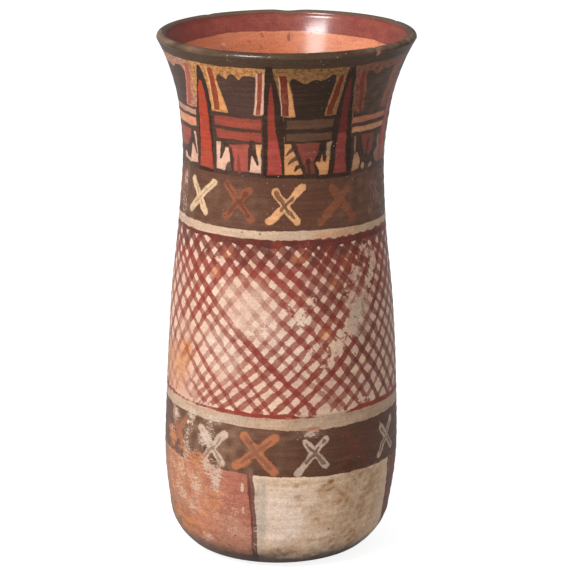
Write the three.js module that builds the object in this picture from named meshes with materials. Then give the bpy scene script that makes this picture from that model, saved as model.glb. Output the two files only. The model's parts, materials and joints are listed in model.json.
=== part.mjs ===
// Hand-built earthenware beaker vase in millimetres, +Z up, standing on the origin: a pressed base dish,
// seven clay courses and a lip coil, each scarfed on the one below.
import * as THREE from "three";

// Height of each course where its outside shows
const baseDishHeight = 16;
const footHeight = 22;
const lowerBellyHeight = 23;
const bellyHeight = 31;
const shoulderHeight = 31.3;
const waistHeight = 22.2;
const neckHeight = 21;
const mouthHeight = 17.5;
const rimHeight = 6;

// Outside radius of the flat underside and of the wall at the top of the heel
const restRadius = 26;
const heelRadius = 40.5;

// How much wider each course is at its top than at its foot, as a radius
const footSpread = 2.15;
const lowerBellySpread = -0.65;
const bellySpread = -1.7;
const shoulderSpread = -3.2;
const waistSpread = -1.25;
const neckSpread = 2.05;
const mouthSpread = 5.8;
const rimSpread = 2.2;

// Thickness of the clay, and the round corner between floor and wall inside
const wallThickness = 5;
const lipThickness = 3.7;
const floorThickness = 7;
const floorFillet = 14;

// How full the turned-up heel is: 1 is a straight cone, 2 a quarter of an ellipse
const heelFullness = 1.7;

// A scarf seam starts at its course's edge outside and drops this far to its inner edge
const scarfDrop = 3;

// The wall leans: its centre line stands this far to the side at the base, and sways about the straight line
const leanAtBase = -3.2;
const leanSway = 0.37;

// Fineness of the surface
const turnSteps = 64;
const wallStep = 9;
const heelSteps = 8;
const floorSteps = 4;
const lipSteps = 8;

// Slip and clay colours of the registers
const bareClay = 0xb07c60;
const creamSlip = 0xdfbd9d;
const latticeRed = 0xb98672;
const darkSlip = 0x5c4238;
const figureRed = 0xa5503f;
const ochreSlip = 0xb98350;
const lipSlip = 0x43302a;

const courses = [
  { name: "base_dish", height: baseDishHeight, spread: 0, color: bareClay },
  { name: "foot_course", height: footHeight, spread: footSpread, color: creamSlip },
  { name: "lower_belly_course", height: lowerBellyHeight, spread: lowerBellySpread, color: darkSlip },
  { name: "belly_course", height: bellyHeight, spread: bellySpread, color: latticeRed },
  { name: "shoulder_course", height: shoulderHeight, spread: shoulderSpread, color: latticeRed },
  { name: "waist_course", height: waistHeight, spread: waistSpread, color: darkSlip },
  { name: "neck_course", height: neckHeight, spread: neckSpread, color: figureRed },
  { name: "mouth_course", height: mouthHeight, spread: mouthSpread, color: ochreSlip },
  { name: "rim_coil", height: rimHeight, spread: rimSpread, color: lipSlip },
];

// Each course's edges and top radius follow from those of the courses under it
let edge = 0;
let reach = heelRadius;
for (const course of courses) {
  course.low = edge;
  edge += course.height;
  course.high = edge;
  reach += course.spread;
  course.radius = reach;
}
const rimRadius = reach;
const vaseHeight = edge;
const heelHeight = baseDishHeight;
const lipCentre = vaseHeight - lipThickness / 2;

// Gauge points of the outside wall, from the top of the heel to the widest point of the lip
const gauge = courses.map((course) => new THREE.Vector2(course.radius, course.high));
gauge[gauge.length - 1].y = lipCentre;

// Slope of the wall at each gauge point: level where the radius turns back, else a mean that can't overshoot,
// and at the two ends the slope that carries on the bend of the nearest two spans
function gaugeSlopes() {
  const span = gauge.slice(1).map((p, i) => p.y - gauge[i].y);
  const rise = gauge.slice(1).map((p, i) => (p.x - gauge[i].x) / span[i]);
  const endSlope = (near, next) =>
    ((2 * span[near] + span[next]) * rise[near] - span[near] * rise[next]) / (span[near] + span[next]);
  const last = rise.length - 1;
  return gauge.map((_, i) => {
    if (i === 0) return endSlope(0, 1);
    if (i === gauge.length - 1) return endSlope(last, last - 1);
    const below = rise[i - 1];
    const above = rise[i];
    return below * above <= 0 ? 0 : (2 * below * above) / (below + above);
  });
}
const slopes = gaugeSlopes();

// Outside radius at a height: a rounded heel, then a smooth curve through the gauge points
function outerRadius(z) {
  if (z <= heelHeight) {
    const rest = Math.pow(1 - z / heelHeight, heelFullness);
    return restRadius + (heelRadius - restRadius) * Math.pow(1 - rest, 1 / heelFullness);
  }
  let i = 0;
  while (i < gauge.length - 2 && z > gauge[i + 1].y) i += 1;
  const span = gauge[i + 1].y - gauge[i].y;
  const t = (z - gauge[i].y) / span;
  const towards = t * t * (3 - 2 * t);
  const leaving = t * (1 - t) * (1 - t) * span * slopes[i];
  const arriving = t * t * (t - 1) * span * slopes[i + 1];
  return gauge[i].x * (1 - towards) + gauge[i + 1].x * towards + leaving + arriving;
}

// Inside radius at a height: the wall thins from the mouth course to the lip, and rounds into the floor
function innerRadius(z) {
  const mouthLow = courses.find((course) => course.name === "mouth_course").low;
  const thinning = THREE.MathUtils.clamp((z - mouthLow) / (lipCentre - mouthLow), 0, 1);
  const wall = THREE.MathUtils.lerp(wallThickness, lipThickness, thinning);
  const below = THREE.MathUtils.clamp(1 - (z - floorThickness) / floorFillet, 0, 1);
  return outerRadius(z) - wall - floorFillet * (1 - Math.sqrt(1 - below * below));
}

// Points up the outside or inside wall between two heights
function wallPoints(radiusAt, from, to, steps) {
  return Array.from({ length: steps + 1 }, (_, i) => {
    const z = THREE.MathUtils.lerp(from, to, i / steps);
    return new THREE.Vector2(radiusAt(z), z);
  });
}

// Half round over the lip, from its widest point to its inner edge
function lipPoints() {
  const round = lipThickness / 2;
  return Array.from({ length: lipSteps - 1 }, (_, i) => {
    const turn = ((i + 1) / lipSteps) * Math.PI;
    return new THREE.Vector2(rimRadius - round + round * Math.cos(turn), lipCentre + round * Math.sin(turn));
  });
}

// Section of a course: up the outside, over its top seam or the lip, down the inside, back along its foot
function sectionOf(course) {
  const isBase = course === courses[0];
  const isRim = course === courses[courses.length - 1];
  const steps = isBase ? heelSteps : Math.ceil(course.height / wallStep);
  const outside = wallPoints(outerRadius, course.low, isRim ? lipCentre : course.high, steps);
  const innerTop = isRim ? lipCentre : course.high - scarfDrop;
  if (isBase) {
    const inside = wallPoints(innerRadius, innerTop, floorThickness, floorSteps);
    return [new THREE.Vector2(0, 0), ...outside, ...inside, new THREE.Vector2(0, floorThickness)];
  }
  const inside = wallPoints(innerRadius, innerTop, course.low - scarfDrop, steps);
  return [...outside, ...(isRim ? lipPoints() : []), ...inside, outside[0].clone()];
}

// Side shift of the centre line at a height
function leanAt(z) {
  const t = z / vaseHeight;
  return leanAtBase * (1 - t) + leanSway * Math.sin(2 * Math.PI * t);
}

function buildCourse(course) {
  const geometry = new THREE.LatheGeometry(sectionOf(course), turnSteps);
  geometry.rotateX(Math.PI / 2);
  const position = geometry.getAttribute("position");
  for (let i = 0; i < position.count; i += 1) {
    position.setX(i, position.getX(i) + leanAt(position.getZ(i)));
  }
  geometry.computeVertexNormals();
  const material = new THREE.MeshStandardMaterial({ color: course.color, roughness: 0.55, metalness: 0 });
  const mesh = new THREE.Mesh(geometry, material);
  mesh.name = course.name;
  return mesh;
}

const vase = new THREE.Group();
vase.name = "earthenware_vase";
for (const course of courses) vase.add(buildCourse(course));

export default vase;
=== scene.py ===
import json
import math

import bmesh
import bpy
import numpy as np
from mathutils import Matrix, Vector


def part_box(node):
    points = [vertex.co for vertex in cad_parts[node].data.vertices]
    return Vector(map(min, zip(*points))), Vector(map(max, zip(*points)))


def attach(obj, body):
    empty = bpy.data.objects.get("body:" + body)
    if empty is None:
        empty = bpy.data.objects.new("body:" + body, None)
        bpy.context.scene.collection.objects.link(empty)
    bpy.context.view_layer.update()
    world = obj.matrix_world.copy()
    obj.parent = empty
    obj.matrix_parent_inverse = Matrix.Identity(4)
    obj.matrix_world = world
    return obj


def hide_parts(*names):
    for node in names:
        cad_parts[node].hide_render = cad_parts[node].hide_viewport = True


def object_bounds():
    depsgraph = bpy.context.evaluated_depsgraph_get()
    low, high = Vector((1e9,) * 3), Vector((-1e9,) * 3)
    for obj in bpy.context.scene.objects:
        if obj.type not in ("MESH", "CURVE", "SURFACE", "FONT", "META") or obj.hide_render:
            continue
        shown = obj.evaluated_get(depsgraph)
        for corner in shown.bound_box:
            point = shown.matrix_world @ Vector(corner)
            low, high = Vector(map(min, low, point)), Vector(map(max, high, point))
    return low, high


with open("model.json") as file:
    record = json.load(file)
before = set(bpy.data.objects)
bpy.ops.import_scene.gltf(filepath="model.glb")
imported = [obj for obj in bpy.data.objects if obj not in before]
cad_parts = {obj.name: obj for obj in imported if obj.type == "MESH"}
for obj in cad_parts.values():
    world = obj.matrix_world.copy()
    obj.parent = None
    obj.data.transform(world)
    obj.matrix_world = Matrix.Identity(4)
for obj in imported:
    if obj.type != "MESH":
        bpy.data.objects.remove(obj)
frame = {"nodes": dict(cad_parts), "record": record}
cadLow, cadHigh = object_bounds()
mm = 0.001
print("frame loaded")


# camera: a long lens in front of the vase, looking down a little over its rim
cameraView = dict(distance=904.1 * mm, height=351.0 * mm, pitch=15.70, lens=164.0, sensor=36.0, shiftX=-0.003,
                  nearest=0.01, farthest=20)


def makeCamera(view):
    data = bpy.data.cameras.new("photoCamera")
    data.lens = view["lens"]
    data.sensor_width = view["sensor"]
    data.shift_x = view["shiftX"]
    data.clip_start = view["nearest"]
    data.clip_end = view["farthest"]
    camera = bpy.data.objects.new("photoCamera", data)
    camera.location = (0, -view["distance"], view["height"])
    camera.rotation_euler = (math.radians(90 - view["pitch"]), 0, 0)
    bpy.context.scene.collection.objects.link(camera)
    bpy.context.scene.camera = camera


makeCamera(cameraView)
print("camera placed")


# the wall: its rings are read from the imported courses, so the fine surface has the same section.
# Steps, rings and discs say how fine it gets; lengths are in mm
courses = [part["node"] for part in frame["record"]["subparts"]]
wallFinish = dict(turnSteps=720, wedges=12, outerStep=0.4, innerStep=2.0, mouthStep=0.7, mouthFrom=180,
                  heelRings=50, lipRings=12, floorRings=14, floorDisc=9, footDisc=11, inset=0.012,
                  onPlane=0.01, sameRing=0.02, halfWall=2.5, weld=0.001, sharpOver=32)


def readRings():
    # every ring of the wall as (height, radius, centre x) in mm, from where it crosses the plane y = 0
    rings = set()
    for name in courses:
        points = np.array([v.co for v in frame["nodes"][name].data.vertices]) / mm
        cut = points[np.abs(points[:, 1]) < wallFinish["onPlane"]]
        for height in np.unique(cut[:, 2].round(2)):
            across = np.unique(cut[np.abs(cut[:, 2] - height) < wallFinish["sameRing"], 0].round(2))
            for left, right in zip(across[: len(across) // 2], across[::-1]):
                if right - left > 1:
                    rings.add((height, round((right - left) / 2, 3), round((right + left) / 2, 3)))
    return np.array(sorted(rings))


def splitRings(rings):
    # outer rings lie near the line through the courses' top edges, inner ones a wall's thickness inside it
    height, radius = rings[:, 0], rings[:, 1]
    tops = [0] + sorted(round(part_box(name)[1].z / mm, 2) for name in courses[:-1])
    edges = [(top, radius[np.abs(height - top) < wallFinish["sameRing"]].max()) for top in tops]
    edges.append(tuple(rings[radius.argmax(), :2]))
    middle = np.interp(height, *zip(*edges)) - wallFinish["halfWall"]
    below = height < edges[-1][0] + wallFinish["sameRing"]
    return rings[(radius > middle) & below], rings[(radius <= middle) & below]


def smoothCurve(heights, values):
    # a cubic through the rings, with slopes from their neighbours
    slopes = np.gradient(values, heights, edge_order=2)

    def at(z):
        z = np.clip(z, heights[0], heights[-1])
        i = np.clip(np.searchsorted(heights, z, side="right") - 1, 0, len(heights) - 2)
        span = heights[i + 1] - heights[i]
        t = (z - heights[i]) / span
        towards = t * t * (3 - 2 * t)
        leaving = t * (1 - t) ** 2 * span * slopes[i]
        arriving = t * t * (t - 1) * span * slopes[i + 1]
        return values[i] * (1 - towards) + values[i + 1] * towards + leaving + arriving

    return at


outerRings, innerRings = splitRings(readRings())
outerRadius = smoothCurve(outerRings[:, 0], outerRings[:, 1])
innerRadius = smoothCurve(innerRings[:, 0], innerRings[:, 1])
leanAt = smoothCurve(outerRings[:, 0], outerRings[:, 2])
vaseTop = cadHigh.z / mm
lipHeight = outerRings[-1, 0]
lipThickness = outerRings[-1, 1] - innerRings[-1, 1]
floorHeight = innerRings[0, 0]
scarfDrop = (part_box(courses[0])[1].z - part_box(courses[1])[0].z) / mm
print("wall read:", len(outerRings), "outer and", len(innerRings), "inner rings")


def heightsBetween(low, high, step):
    return np.linspace(low, high, max(2, int(round((high - low) / step)) + 1))


def courseSection(name):
    # closed outline of a course as (radius, height), up outside and down inside, and how its runs of rings
    # lie in the bake map: (rings, strips side by side, share of the map's height), no strips for a flat disc
    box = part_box(name)
    high = box[1].z / mm
    if name == courses[0]:
        outside = [(outerRadius(z), z) for z in high * np.linspace(0, 1, wallFinish["heelRings"]) ** 2]
        climb = (high - scarfDrop - floorHeight) * np.linspace(1, 0, wallFinish["floorRings"]) ** 2
        inside = [(innerRadius(floorHeight + z), floorHeight + z) for z in climb]
        floor = [(r, floorHeight) for r in np.linspace(innerRadius(floorHeight), 0, wallFinish["floorDisc"])[1:]]
        underside = [(r, 0) for r in np.linspace(0, outerRadius(0), wallFinish["footDisc"])[:-1]]
        runs = [(len(outside) - 1, 3, 0.50), (1, 1, 0.02), (len(inside) - 1, 1, 0.08), (len(floor), 0, 0.36),
                (1, 1, 0), (len(underside), 0, 0.36)]
        return outside + inside + floor + underside, runs
    low = box[0].z / mm + scarfDrop
    isRim = name == courses[-1]
    innerStep = wallFinish["mouthStep" if high > wallFinish["mouthFrom"] else "innerStep"]
    outside = heightsBetween(low, lipHeight if isRim else high, wallFinish["outerStep"])
    inside = heightsBetween(low - scarfDrop, lipHeight if isRim else high - scarfDrop, innerStep)[::-1]
    wall = [(outerRadius(z), z) for z in outside]
    runs = [(len(outside) - 1, 3, 0.78), (1, 1, 0.02), (len(inside) - 1, 1, 0.13), (1, 1, 0.02)]
    if isRim:
        middle = (outerRadius(lipHeight) + innerRadius(lipHeight)) / 2
        half = lipThickness / 2
        for turn in np.linspace(0, math.pi, wallFinish["lipRings"] + 2)[1:-1]:
            wall.append((middle + half * math.cos(turn), lipHeight + half * math.sin(turn)))
        runs = [(len(wall) + len(inside) - 1, 3, 0.92), (1, 1, 0.04)]
    return wall + [(innerRadius(z), z) for z in inside], runs


def spinCourse(name, section):
    # a wedge is spun from the section and turned copies of it close the circle: quicker than a full spin
    bm = bmesh.new()
    ring = bm.verts.layers.int.new("ring")
    verts = [bm.verts.new((r * mm, 0, z * mm)) for r, z in section]
    for number, vert in enumerate(verts):
        vert[ring] = number
    pairs = zip(verts, verts[1:] + verts[:1])
    edges = [bm.edges.new(pair) for pair in pairs if pair[0].co.x > 0 or pair[1].co.x > 0]
    wedge = 2 * math.pi / wallFinish["wedges"]
    bmesh.ops.spin(bm, geom=verts + edges, cent=(0, 0, 0), axis=(0, 0, 1), angle=wedge,
                   steps=wallFinish["turnSteps"] // wallFinish["wedges"])
    spun = bm.verts[:] + bm.edges[:] + bm.faces[:]
    for number in range(1, wallFinish["wedges"]):
        copied = bmesh.ops.duplicate(bm, geom=spun)["geom"]
        bmesh.ops.rotate(bm, verts=[part for part in copied if isinstance(part, bmesh.types.BMVert)],
                         cent=(0, 0, 0), matrix=Matrix.Rotation(wedge * number, 3, "Z"))
    bmesh.ops.remove_doubles(bm, verts=bm.verts, dist=wallFinish["weld"] * mm)
    bmesh.ops.recalc_face_normals(bm, faces=bm.faces)
    mesh = bpy.data.meshes.new("painted_" + name)
    bm.to_mesh(mesh)
    bm.free()
    mesh.shade_smooth()
    mesh.set_sharp_from_angle(angle=math.radians(wallFinish["sharpOver"]))
    return mesh


# how the potter's hands left the wall: slow swells and scraping marks as (waves round, mm deep, phase, mm of
# height to a radian or to a whole wave), and what the lip has lost as (degrees round, half width, mm deep)
handWork = dict(
    swells=[(2, 0.16, 0.7, 55), (3, 0.11, 2.9, -38), (5, 0.07, 4.4, 21), (9, 0.04, 1.2, -11)],
    scrapes=[(1, 0.045, 0.4, 4.6), (2, 0.03, 2.2, 2.9)],
    footFade=14, lipFade=22, lipClear=2, discRadius=20, nickFade=2.4, nickInward=0.35,
    nicks=[(43, 0.9, 0.55), (179, 5.0, 0.45), (-31, 1.0, 0.12), (-8, 0.8, 0.1), (9, 0.9, 0.14), (21, 1.0, 0.1),
           (66, 1.4, 0.2), (-88, 1.8, 0.2), (118, 1.6, 0.22), (-140, 1.8, 0.2)],
)


def turnAngle(x, y):
    # degrees round the vase from the side that faces the camera, growing to the right
    return np.degrees(np.arctan2(x, -y))


def nearAngle(theta, centre):
    return (theta - centre + 180) % 360 - 180


def shapeByHand(points):
    # points are in mm before the lean; returns them moved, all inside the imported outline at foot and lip
    theta = turnAngle(points[:, 0], points[:, 1])
    turn = np.radians(theta)
    radius = np.hypot(points[:, 0], points[:, 1])
    z = points[:, 2]
    swell = sum(size * np.sin(count * turn + phase + z / pitch)
                for count, size, phase, pitch in handWork["swells"])
    swell += sum(size * np.sin(count * turn + phase + z * 2 * math.pi / pitch)
                 for count, size, phase, pitch in handWork["scrapes"])
    fade = np.clip(z / handWork["footFade"], 0, 1) * np.clip(radius / handWork["discRadius"], 0, 1)
    fade *= np.clip((lipHeight - handWork["lipClear"] - z) / handWork["lipFade"], 0, 1)
    grown = radius + swell * fade - wallFinish["inset"]
    sink = np.zeros(len(z))
    for angle, width, depth in handWork["nicks"]:
        sink += depth * np.exp(-(nearAngle(theta, angle) / width) ** 2)
    sink *= np.clip((z - lipHeight) / handWork["nickFade"] + 0.5, 0, 1)
    moved = points.copy()
    moved[:, 2] = z - sink
    inwards = handWork["nickInward"] * sink
    share = np.divide(grown - inwards, radius, out=np.ones(len(z)), where=radius > 0.5)
    moved[:, 0] *= share
    moved[:, 1] *= share
    moved[:, 0] += leanAt(z)
    return moved


def layFlat(mesh, rest, section, runs, gap=0.006):
    # the course's own map for baking: each run of rings as strips stacked up it, the discs at its top
    corner = np.zeros(len(mesh.loops), np.int32)
    mesh.loops.foreach_get("vertex_index", corner)
    starts = np.zeros(len(mesh.polygons), np.int32)
    mesh.polygons.foreach_get("loop_start", starts)
    ring = np.zeros(len(mesh.vertices), np.int32)
    mesh.attributes["ring"].data.foreach_get("value", ring)
    mesh.attributes.remove(mesh.attributes["ring"])
    counts = np.diff(np.append(starts, len(corner)))
    x, y, ring = rest[corner, 0], rest[corner, 1], ring[corner]
    faceTurn = np.repeat(turnAngle(np.add.reduceat(x, starts), np.add.reduceat(y, starts)), counts)
    lowest = np.repeat(np.minimum.reduceat(ring, starts), counts)
    highest = np.repeat(np.maximum.reduceat(ring, starts), counts)
    closes = highest - lowest > 1
    lowest = np.where(closes, highest, lowest)
    ring = np.where(closes & (ring == 0), len(section), ring)
    outline = np.array(section + section[:1], float)
    along = np.append(0, np.cumsum(np.hypot(*np.diff(outline, axis=0).T)))
    turn = faceTurn + nearAngle(turnAngle(x, y), faceTurn) + 180
    u, v = np.zeros(len(corner)), np.zeros(len(corner))
    first, base, discLeft = 0, gap, gap
    for steps, strips, share in runs:
        here = (lowest >= first) & (lowest < first + steps)
        if strips:
            tall, wide = share / strips, 360 / strips
            strip = np.clip((faceTurn + 180) // wide, 0, strips - 1)
            rise = (along[ring] - along[first]) / (along[first + steps] - along[first])
            u[here] = (gap + (1 - 2 * gap) * (turn / wide - strip))[here]
            v[here] = (base + strip * (tall + gap) + rise * tall)[here]
            base += (share + strips * gap) * (share > 0)
        else:
            widest = outline[first: first + steps + 1, 0].max()
            u[here] = (discLeft + share / 2 * (1 + x / widest))[here]
            v[here] = (1 - gap - share / 2 * (1 + y / widest))[here]
            discLeft += share + gap
        first += steps
    layer = mesh.uv_layers.new(name="OFBake")
    layer.data.foreach_set("uv", np.stack([u, v], axis=1).astype(np.float32).ravel())


# slips and clays, as they look in plain light
colours = dict(
    cream=(233, 201, 171), lineCream=(190, 158, 134), latticeCream=(228, 186, 164), whiteCream=(240, 214, 194),
    ochre=(206, 148, 92), darkOchre=(156, 112, 70), pinkTan=(196, 140, 116), brownTan=(146, 98, 76),
    paleOchre=(232, 170, 120), orangeGround=(226, 156, 96), darkSlip=(98, 63, 48), dustAndSheenBrown=(158, 122, 98),
    blackSlip=(54, 36, 26), brownBlack=(80, 56, 48), greyBlack=(76, 54, 45), lipSlip=(80, 59, 43),
    lipWorn=(156, 128, 108), brickRed=(182, 68, 44), brickLow=(220, 92, 66), spireRed=(152, 60, 48),
    spireLow=(178, 74, 64), deepRed=(112, 44, 38), lowRed=(150, 66, 60), stripeRed=(142, 54, 34),
    darkStripe=(114, 42, 28), paleStripe=(176, 88, 72), barRed=(158, 72, 57), rose=(170, 82, 68),
    greyBrown=(98, 68, 51), barPink=(204, 150, 126), barOrange=(228, 152, 112), terracotta=(194, 121, 92),
    orangeTan=(218, 150, 112), pinkCream=(230, 182, 155), dullRed=(134, 66, 54), latticeRed=(150, 62, 50),
    latticeDark=(104, 54, 47), latticeRust=(178, 98, 66), rust=(220, 150, 100), roseClay=(188, 126, 104),
    rosePaint=(182, 114, 93), clay=(206, 134, 88), redBrown=(134, 78, 62), crust=(222, 198, 178),
    innerClay=(204, 120, 84), litInnerPink=(238, 158, 124), maroon=(144, 71, 64), brown=(104, 70, 50),
    boneCream=(226, 190, 150), rustBrown=(156, 88, 60), orangeCross=(186, 112, 76), crossShade=(142, 94, 74),
    darkRedCross=(112, 62, 48), pinkBrown=(150, 108, 92), greyCream=(206, 180, 158), tan=(172, 134, 104),
    warmTan=(198, 146, 108), shadow=(70, 46, 36), footDirtAndShade=(62, 44, 34), partingLine=(108, 60, 54),
    ochreStain=(168, 122, 74), greyWhite=(200, 180, 162), greenGrey=(132, 116, 92), dimOchre=(214, 150, 100),
)


def linear(colour):
    # a named colour as linear light
    share = np.array(colours[colour]) / 255
    return np.where(share <= 0.04045, share / 12.92, ((share + 0.055) / 1.055) ** 2.4)


# shapes of paint: a point is (degrees round, height in mm); load is how much slip the brush carried
def area(points, colour, load=1.0):
    return dict(kind="area", points=points, colour=colour, load=load)


def stroke(points, widths, colour, load=1.0):
    return dict(kind="stroke", points=points, widths=widths, colour=colour, load=load)


def band(low, high, colour):
    # a ring of paint between two edges, each a height or a list of (degrees round, height)
    return dict(kind="band", low=low, high=high, colour=colour, load=1.0)


strayed = (0.28, 0.13)  # how far a copied point strays, in degrees and mm


def turned(shapes, degrees, seed=0, recolour=None):
    # a copy of some shapes further round the vase; with a seed, each point is drawn a little differently
    shake = np.random.default_rng(seed)
    around, upwards = strayed if seed else (0, 0)
    copies = []
    for shape in shapes:
        points = [(a + degrees + shake.normal(0, around), z + shake.normal(0, upwards))
                  for a, z in shape["points"]]
        colour = (recolour or {}).get(shape["colour"], shape["colour"])
        copies.append(dict(shape, points=points, colour=colour))
    return copies


girth = 250  # mm round the vase, near enough for patterns
driftWaves = 8  # crossing waves that make a pattern uneven


def drift(theta, z, size, seed):
    # smooth unevenness over the wall, about -1 to 1, with features roughly this many mm across
    shake = np.random.default_rng(seed)
    total = np.zeros(len(z))
    for _ in range(driftWaves):
        lean = shake.uniform(0, math.pi)
        turns = round(girth / size * math.cos(lean))
        rise = 2 * math.pi / size * math.sin(lean)
        total += np.sin(np.radians(theta) * turns + z * rise + shake.uniform(0, 2 * math.pi))
    return total / 3


def edgeHeight(edge, theta):
    if isinstance(edge, (int, float)):
        return np.full(len(theta), float(edge))
    return np.interp(theta, [a for a, _ in edge], [z for _, z in edge], period=360)


def segments(corners, theta, z, scale):
    # for each side of a line of corners: offsets of its ends in mm from each point
    for (a0, z0), (a1, z1) in zip(corners, corners[1:]):
        yield (a0 - theta) * scale, z0 - z, (a1 - theta) * scale, z1 - z


def nearestOn(ax, az, bx, bz):
    dx, dz = bx - ax, bz - az
    t = np.clip(-(ax * dx + az * dz) / (dx * dx + dz * dz + 1e-9), 0, 1)
    return t, np.hypot(ax + dx * t, az + dz * t)


reachOfPaint = 3.0  # how far outside a shape its distance is still worked out, in mm
farAway = 9.0  # a distance past that


def distanceTo(shape, theta, z, scale):
    # signed distance in mm, positive inside the paint; scale is mm to a degree round
    if shape["kind"] == "band":
        return np.minimum(edgeHeight(shape["high"], theta) - z, z - edgeHeight(shape["low"], theta))
    corners = list(shape["points"])
    if shape["kind"] == "stroke":
        widths = np.broadcast_to(shape["widths"], len(corners))
        best = np.full(len(z), -farAway)
        for ends, w0, w1 in zip(segments(corners, theta, z, scale), widths, widths[1:]):
            t, gap = nearestOn(*ends)
            best = np.maximum(best, (w0 + (w1 - w0) * t) / 2 - gap)
        return best
    gap = np.full(len(z), farAway)
    inside = np.zeros(len(z), bool)
    for ax, az, bx, bz in segments(corners + corners[:1], theta, z, scale):
        gap = np.minimum(gap, nearestOn(ax, az, bx, bz)[1])
        with np.errstate(divide="ignore", invalid="ignore"):
            inside ^= ((az > 0) != (bz > 0)) & (ax - az * (bx - ax) / (bz - az) > 0)
    return np.where(inside, gap, -gap)


def paintLayer(shapes, theta, z, scale, default):
    # distance, colour and load at each point; later shapes lie over earlier ones
    distance = np.full(len(z), -reachOfPaint)
    colour = np.tile(linear(default), (len(z), 1))
    load = np.ones(len(z))
    for shape in shapes:
        near, angle = np.arange(len(z)), theta
        if shape["kind"] != "band":
            corners = np.array(shape["points"], float)
            middle = (corners[:, 0].min() + corners[:, 0].max()) / 2
            half = (corners[:, 0].max() - corners[:, 0].min()) / 2 + reachOfPaint / scale.min()
            angle = middle + nearAngle(theta, middle)
            near = np.flatnonzero((np.abs(angle - middle) < half) & (z > corners[:, 1].min() - reachOfPaint)
                                  & (z < corners[:, 1].max() + reachOfPaint))
            if not len(near):
                continue
        found = distanceTo(shape, angle[near], z[near], scale[near])
        over = (found > distance[near]) | (found > 0)
        colour[near[over]] = linear(shape["colour"])
        load[near[over]] = shape["load"]
        distance[near] = np.maximum(distance[near], found)
    return distance, colour, load


# heights of the painted registers, each edge as it wanders round the front
registers = dict(
    lipLow=[(-180, 184.4), (-60, 184.9), (-30, 184.4), (0, 184.7), (25, 184.3), (60, 184.8), (120, 184.3)],
    figureLow=[(-180, 145.8), (-60, 146.3), (-20, 146), (10, 145.6), (35, 145), (60, 144.8), (120, 145.6)],
    lineOneTop=[(-180, 126), (-70, 126.5), (-20, 126.3), (20, 126.4), (50, 125.8), (75, 125.3), (120, 126.2)],
    lineOneLow=[(-180, 123.1), (-75, 123.2), (-30, 123.5), (20, 123), (75, 122.9), (120, 123.4)],
    latticeTop=[(-180, 121.4), (-70, 122), (-52, 121.8), (-45, 122.2), (-38, 120.8), (-30, 121.6), (-24, 120.6),
                (-18, 121.4), (-12, 120.8), (-5, 120.2), (2, 121.2), (8, 120.6), (18, 120.2), (24, 121),
                (28, 120.2), (40, 120.4), (46, 121), (55, 120.2), (75, 120.6), (120, 121.4)],
    latticeLow=[(-180, 62), (-70, 62.6), (-50, 61.8), (-30, 62), (-8, 61.6), (4, 61.8), (10, 60.4), (32, 60.2),
                (40, 61.8), (70, 61.6), (120, 62)],
    lineTwoTop=[(-180, 60.4), (-80, 61.6), (-40, 61), (-20, 60.4), (0, 60), (35, 60.2), (70, 59.8), (120, 60.8)],
    lineTwoLow=[(-180, 56), (-90, 57.6), (-50, 57.3), (-10, 56.3), (10, 55.5), (70, 55.5), (120, 56.4)],
    bandLow=[(-180, 38.6), (-90, 40), (-30, 39.7), (-10, 38.8), (40, 37.7), (70, 37.2), (120, 38.4)],
)

# the figured register: three spires and the four panels beside them, as they are seen from the front
spires = [
    dict(
        outline=[(-55, 145), (-54.5, 150), (-53.7, 155), (-53, 165), (-51.5, 170), (-49.2, 175), (-46.7, 180),
                 (-45.4, 182.6), (-44.2, 183.8), (-43, 183.6), (-42, 181), (-41.2, 175), (-41, 165), (-40.2, 155),
                 (-40, 145)],
        filling=[area([(-53.5, 146.2), (-53, 150), (-52.2, 155), (-51.7, 160), (-51.2, 165), (-50.2, 170),
                       (-48.5, 175), (-46.6, 177.6), (-45.5, 178.2), (-44.7, 177.4), (-44.2, 175), (-44, 170),
                       (-43.7, 160), (-43.2, 155), (-42.7, 150), (-42.2, 146.2)], "brickRed"),
                 area([(-53.5, 146.2), (-53, 150), (-52.4, 153), (-43, 152), (-42.7, 150), (-42.2, 146.2)],
                      "brickLow", 0.6)]),
    dict(
        outline=[(-11.9, 145), (-11.9, 165), (-11, 170), (-10.5, 175), (-10, 180), (-9.2, 185.5), (-6.7, 185.5),
                 (-5, 180), (-3.2, 175), (-2.2, 170), (-0.5, 165), (-0.2, 160), (0, 155), (1, 145)],
        filling=[area([(-9.1, 146), (-9.1, 150), (-9, 165), (-8.7, 170), (-8, 175), (-7.3, 179.5), (-6.2, 175),
                       (-5.5, 170), (-5.2, 165), (-4, 160), (-2.5, 155), (-1.2, 150), (-0.7, 146)], "spireRed"),
                 area([(-9.1, 146), (-9.1, 150), (-9, 158), (-4, 159), (-2.5, 155), (-1.2, 150), (-0.7, 146)],
                      "spireLow", 0.9)]),
    dict(
        outline=[(26, 144), (26.5, 150), (27.2, 165), (28, 170), (29, 175), (29.2, 180), (30, 184.2), (33, 184.2),
                 (34.5, 180), (35.7, 175), (37, 170), (38, 165), (38.7, 160), (40, 155), (41.2, 144)],
        filling=[area([(29.6, 157), (30, 160), (30.7, 165), (30.7, 175), (31.2, 180), (32.5, 180), (34, 175),
                       (34.7, 170), (35.2, 165), (36.2, 157)], "deepRed"),
                 area([(29, 145.6), (29.5, 155), (29.9, 160), (35.6, 160), (36, 155), (36.5, 150), (37.2, 145.6)],
                      "lowRed")]),
]
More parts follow.
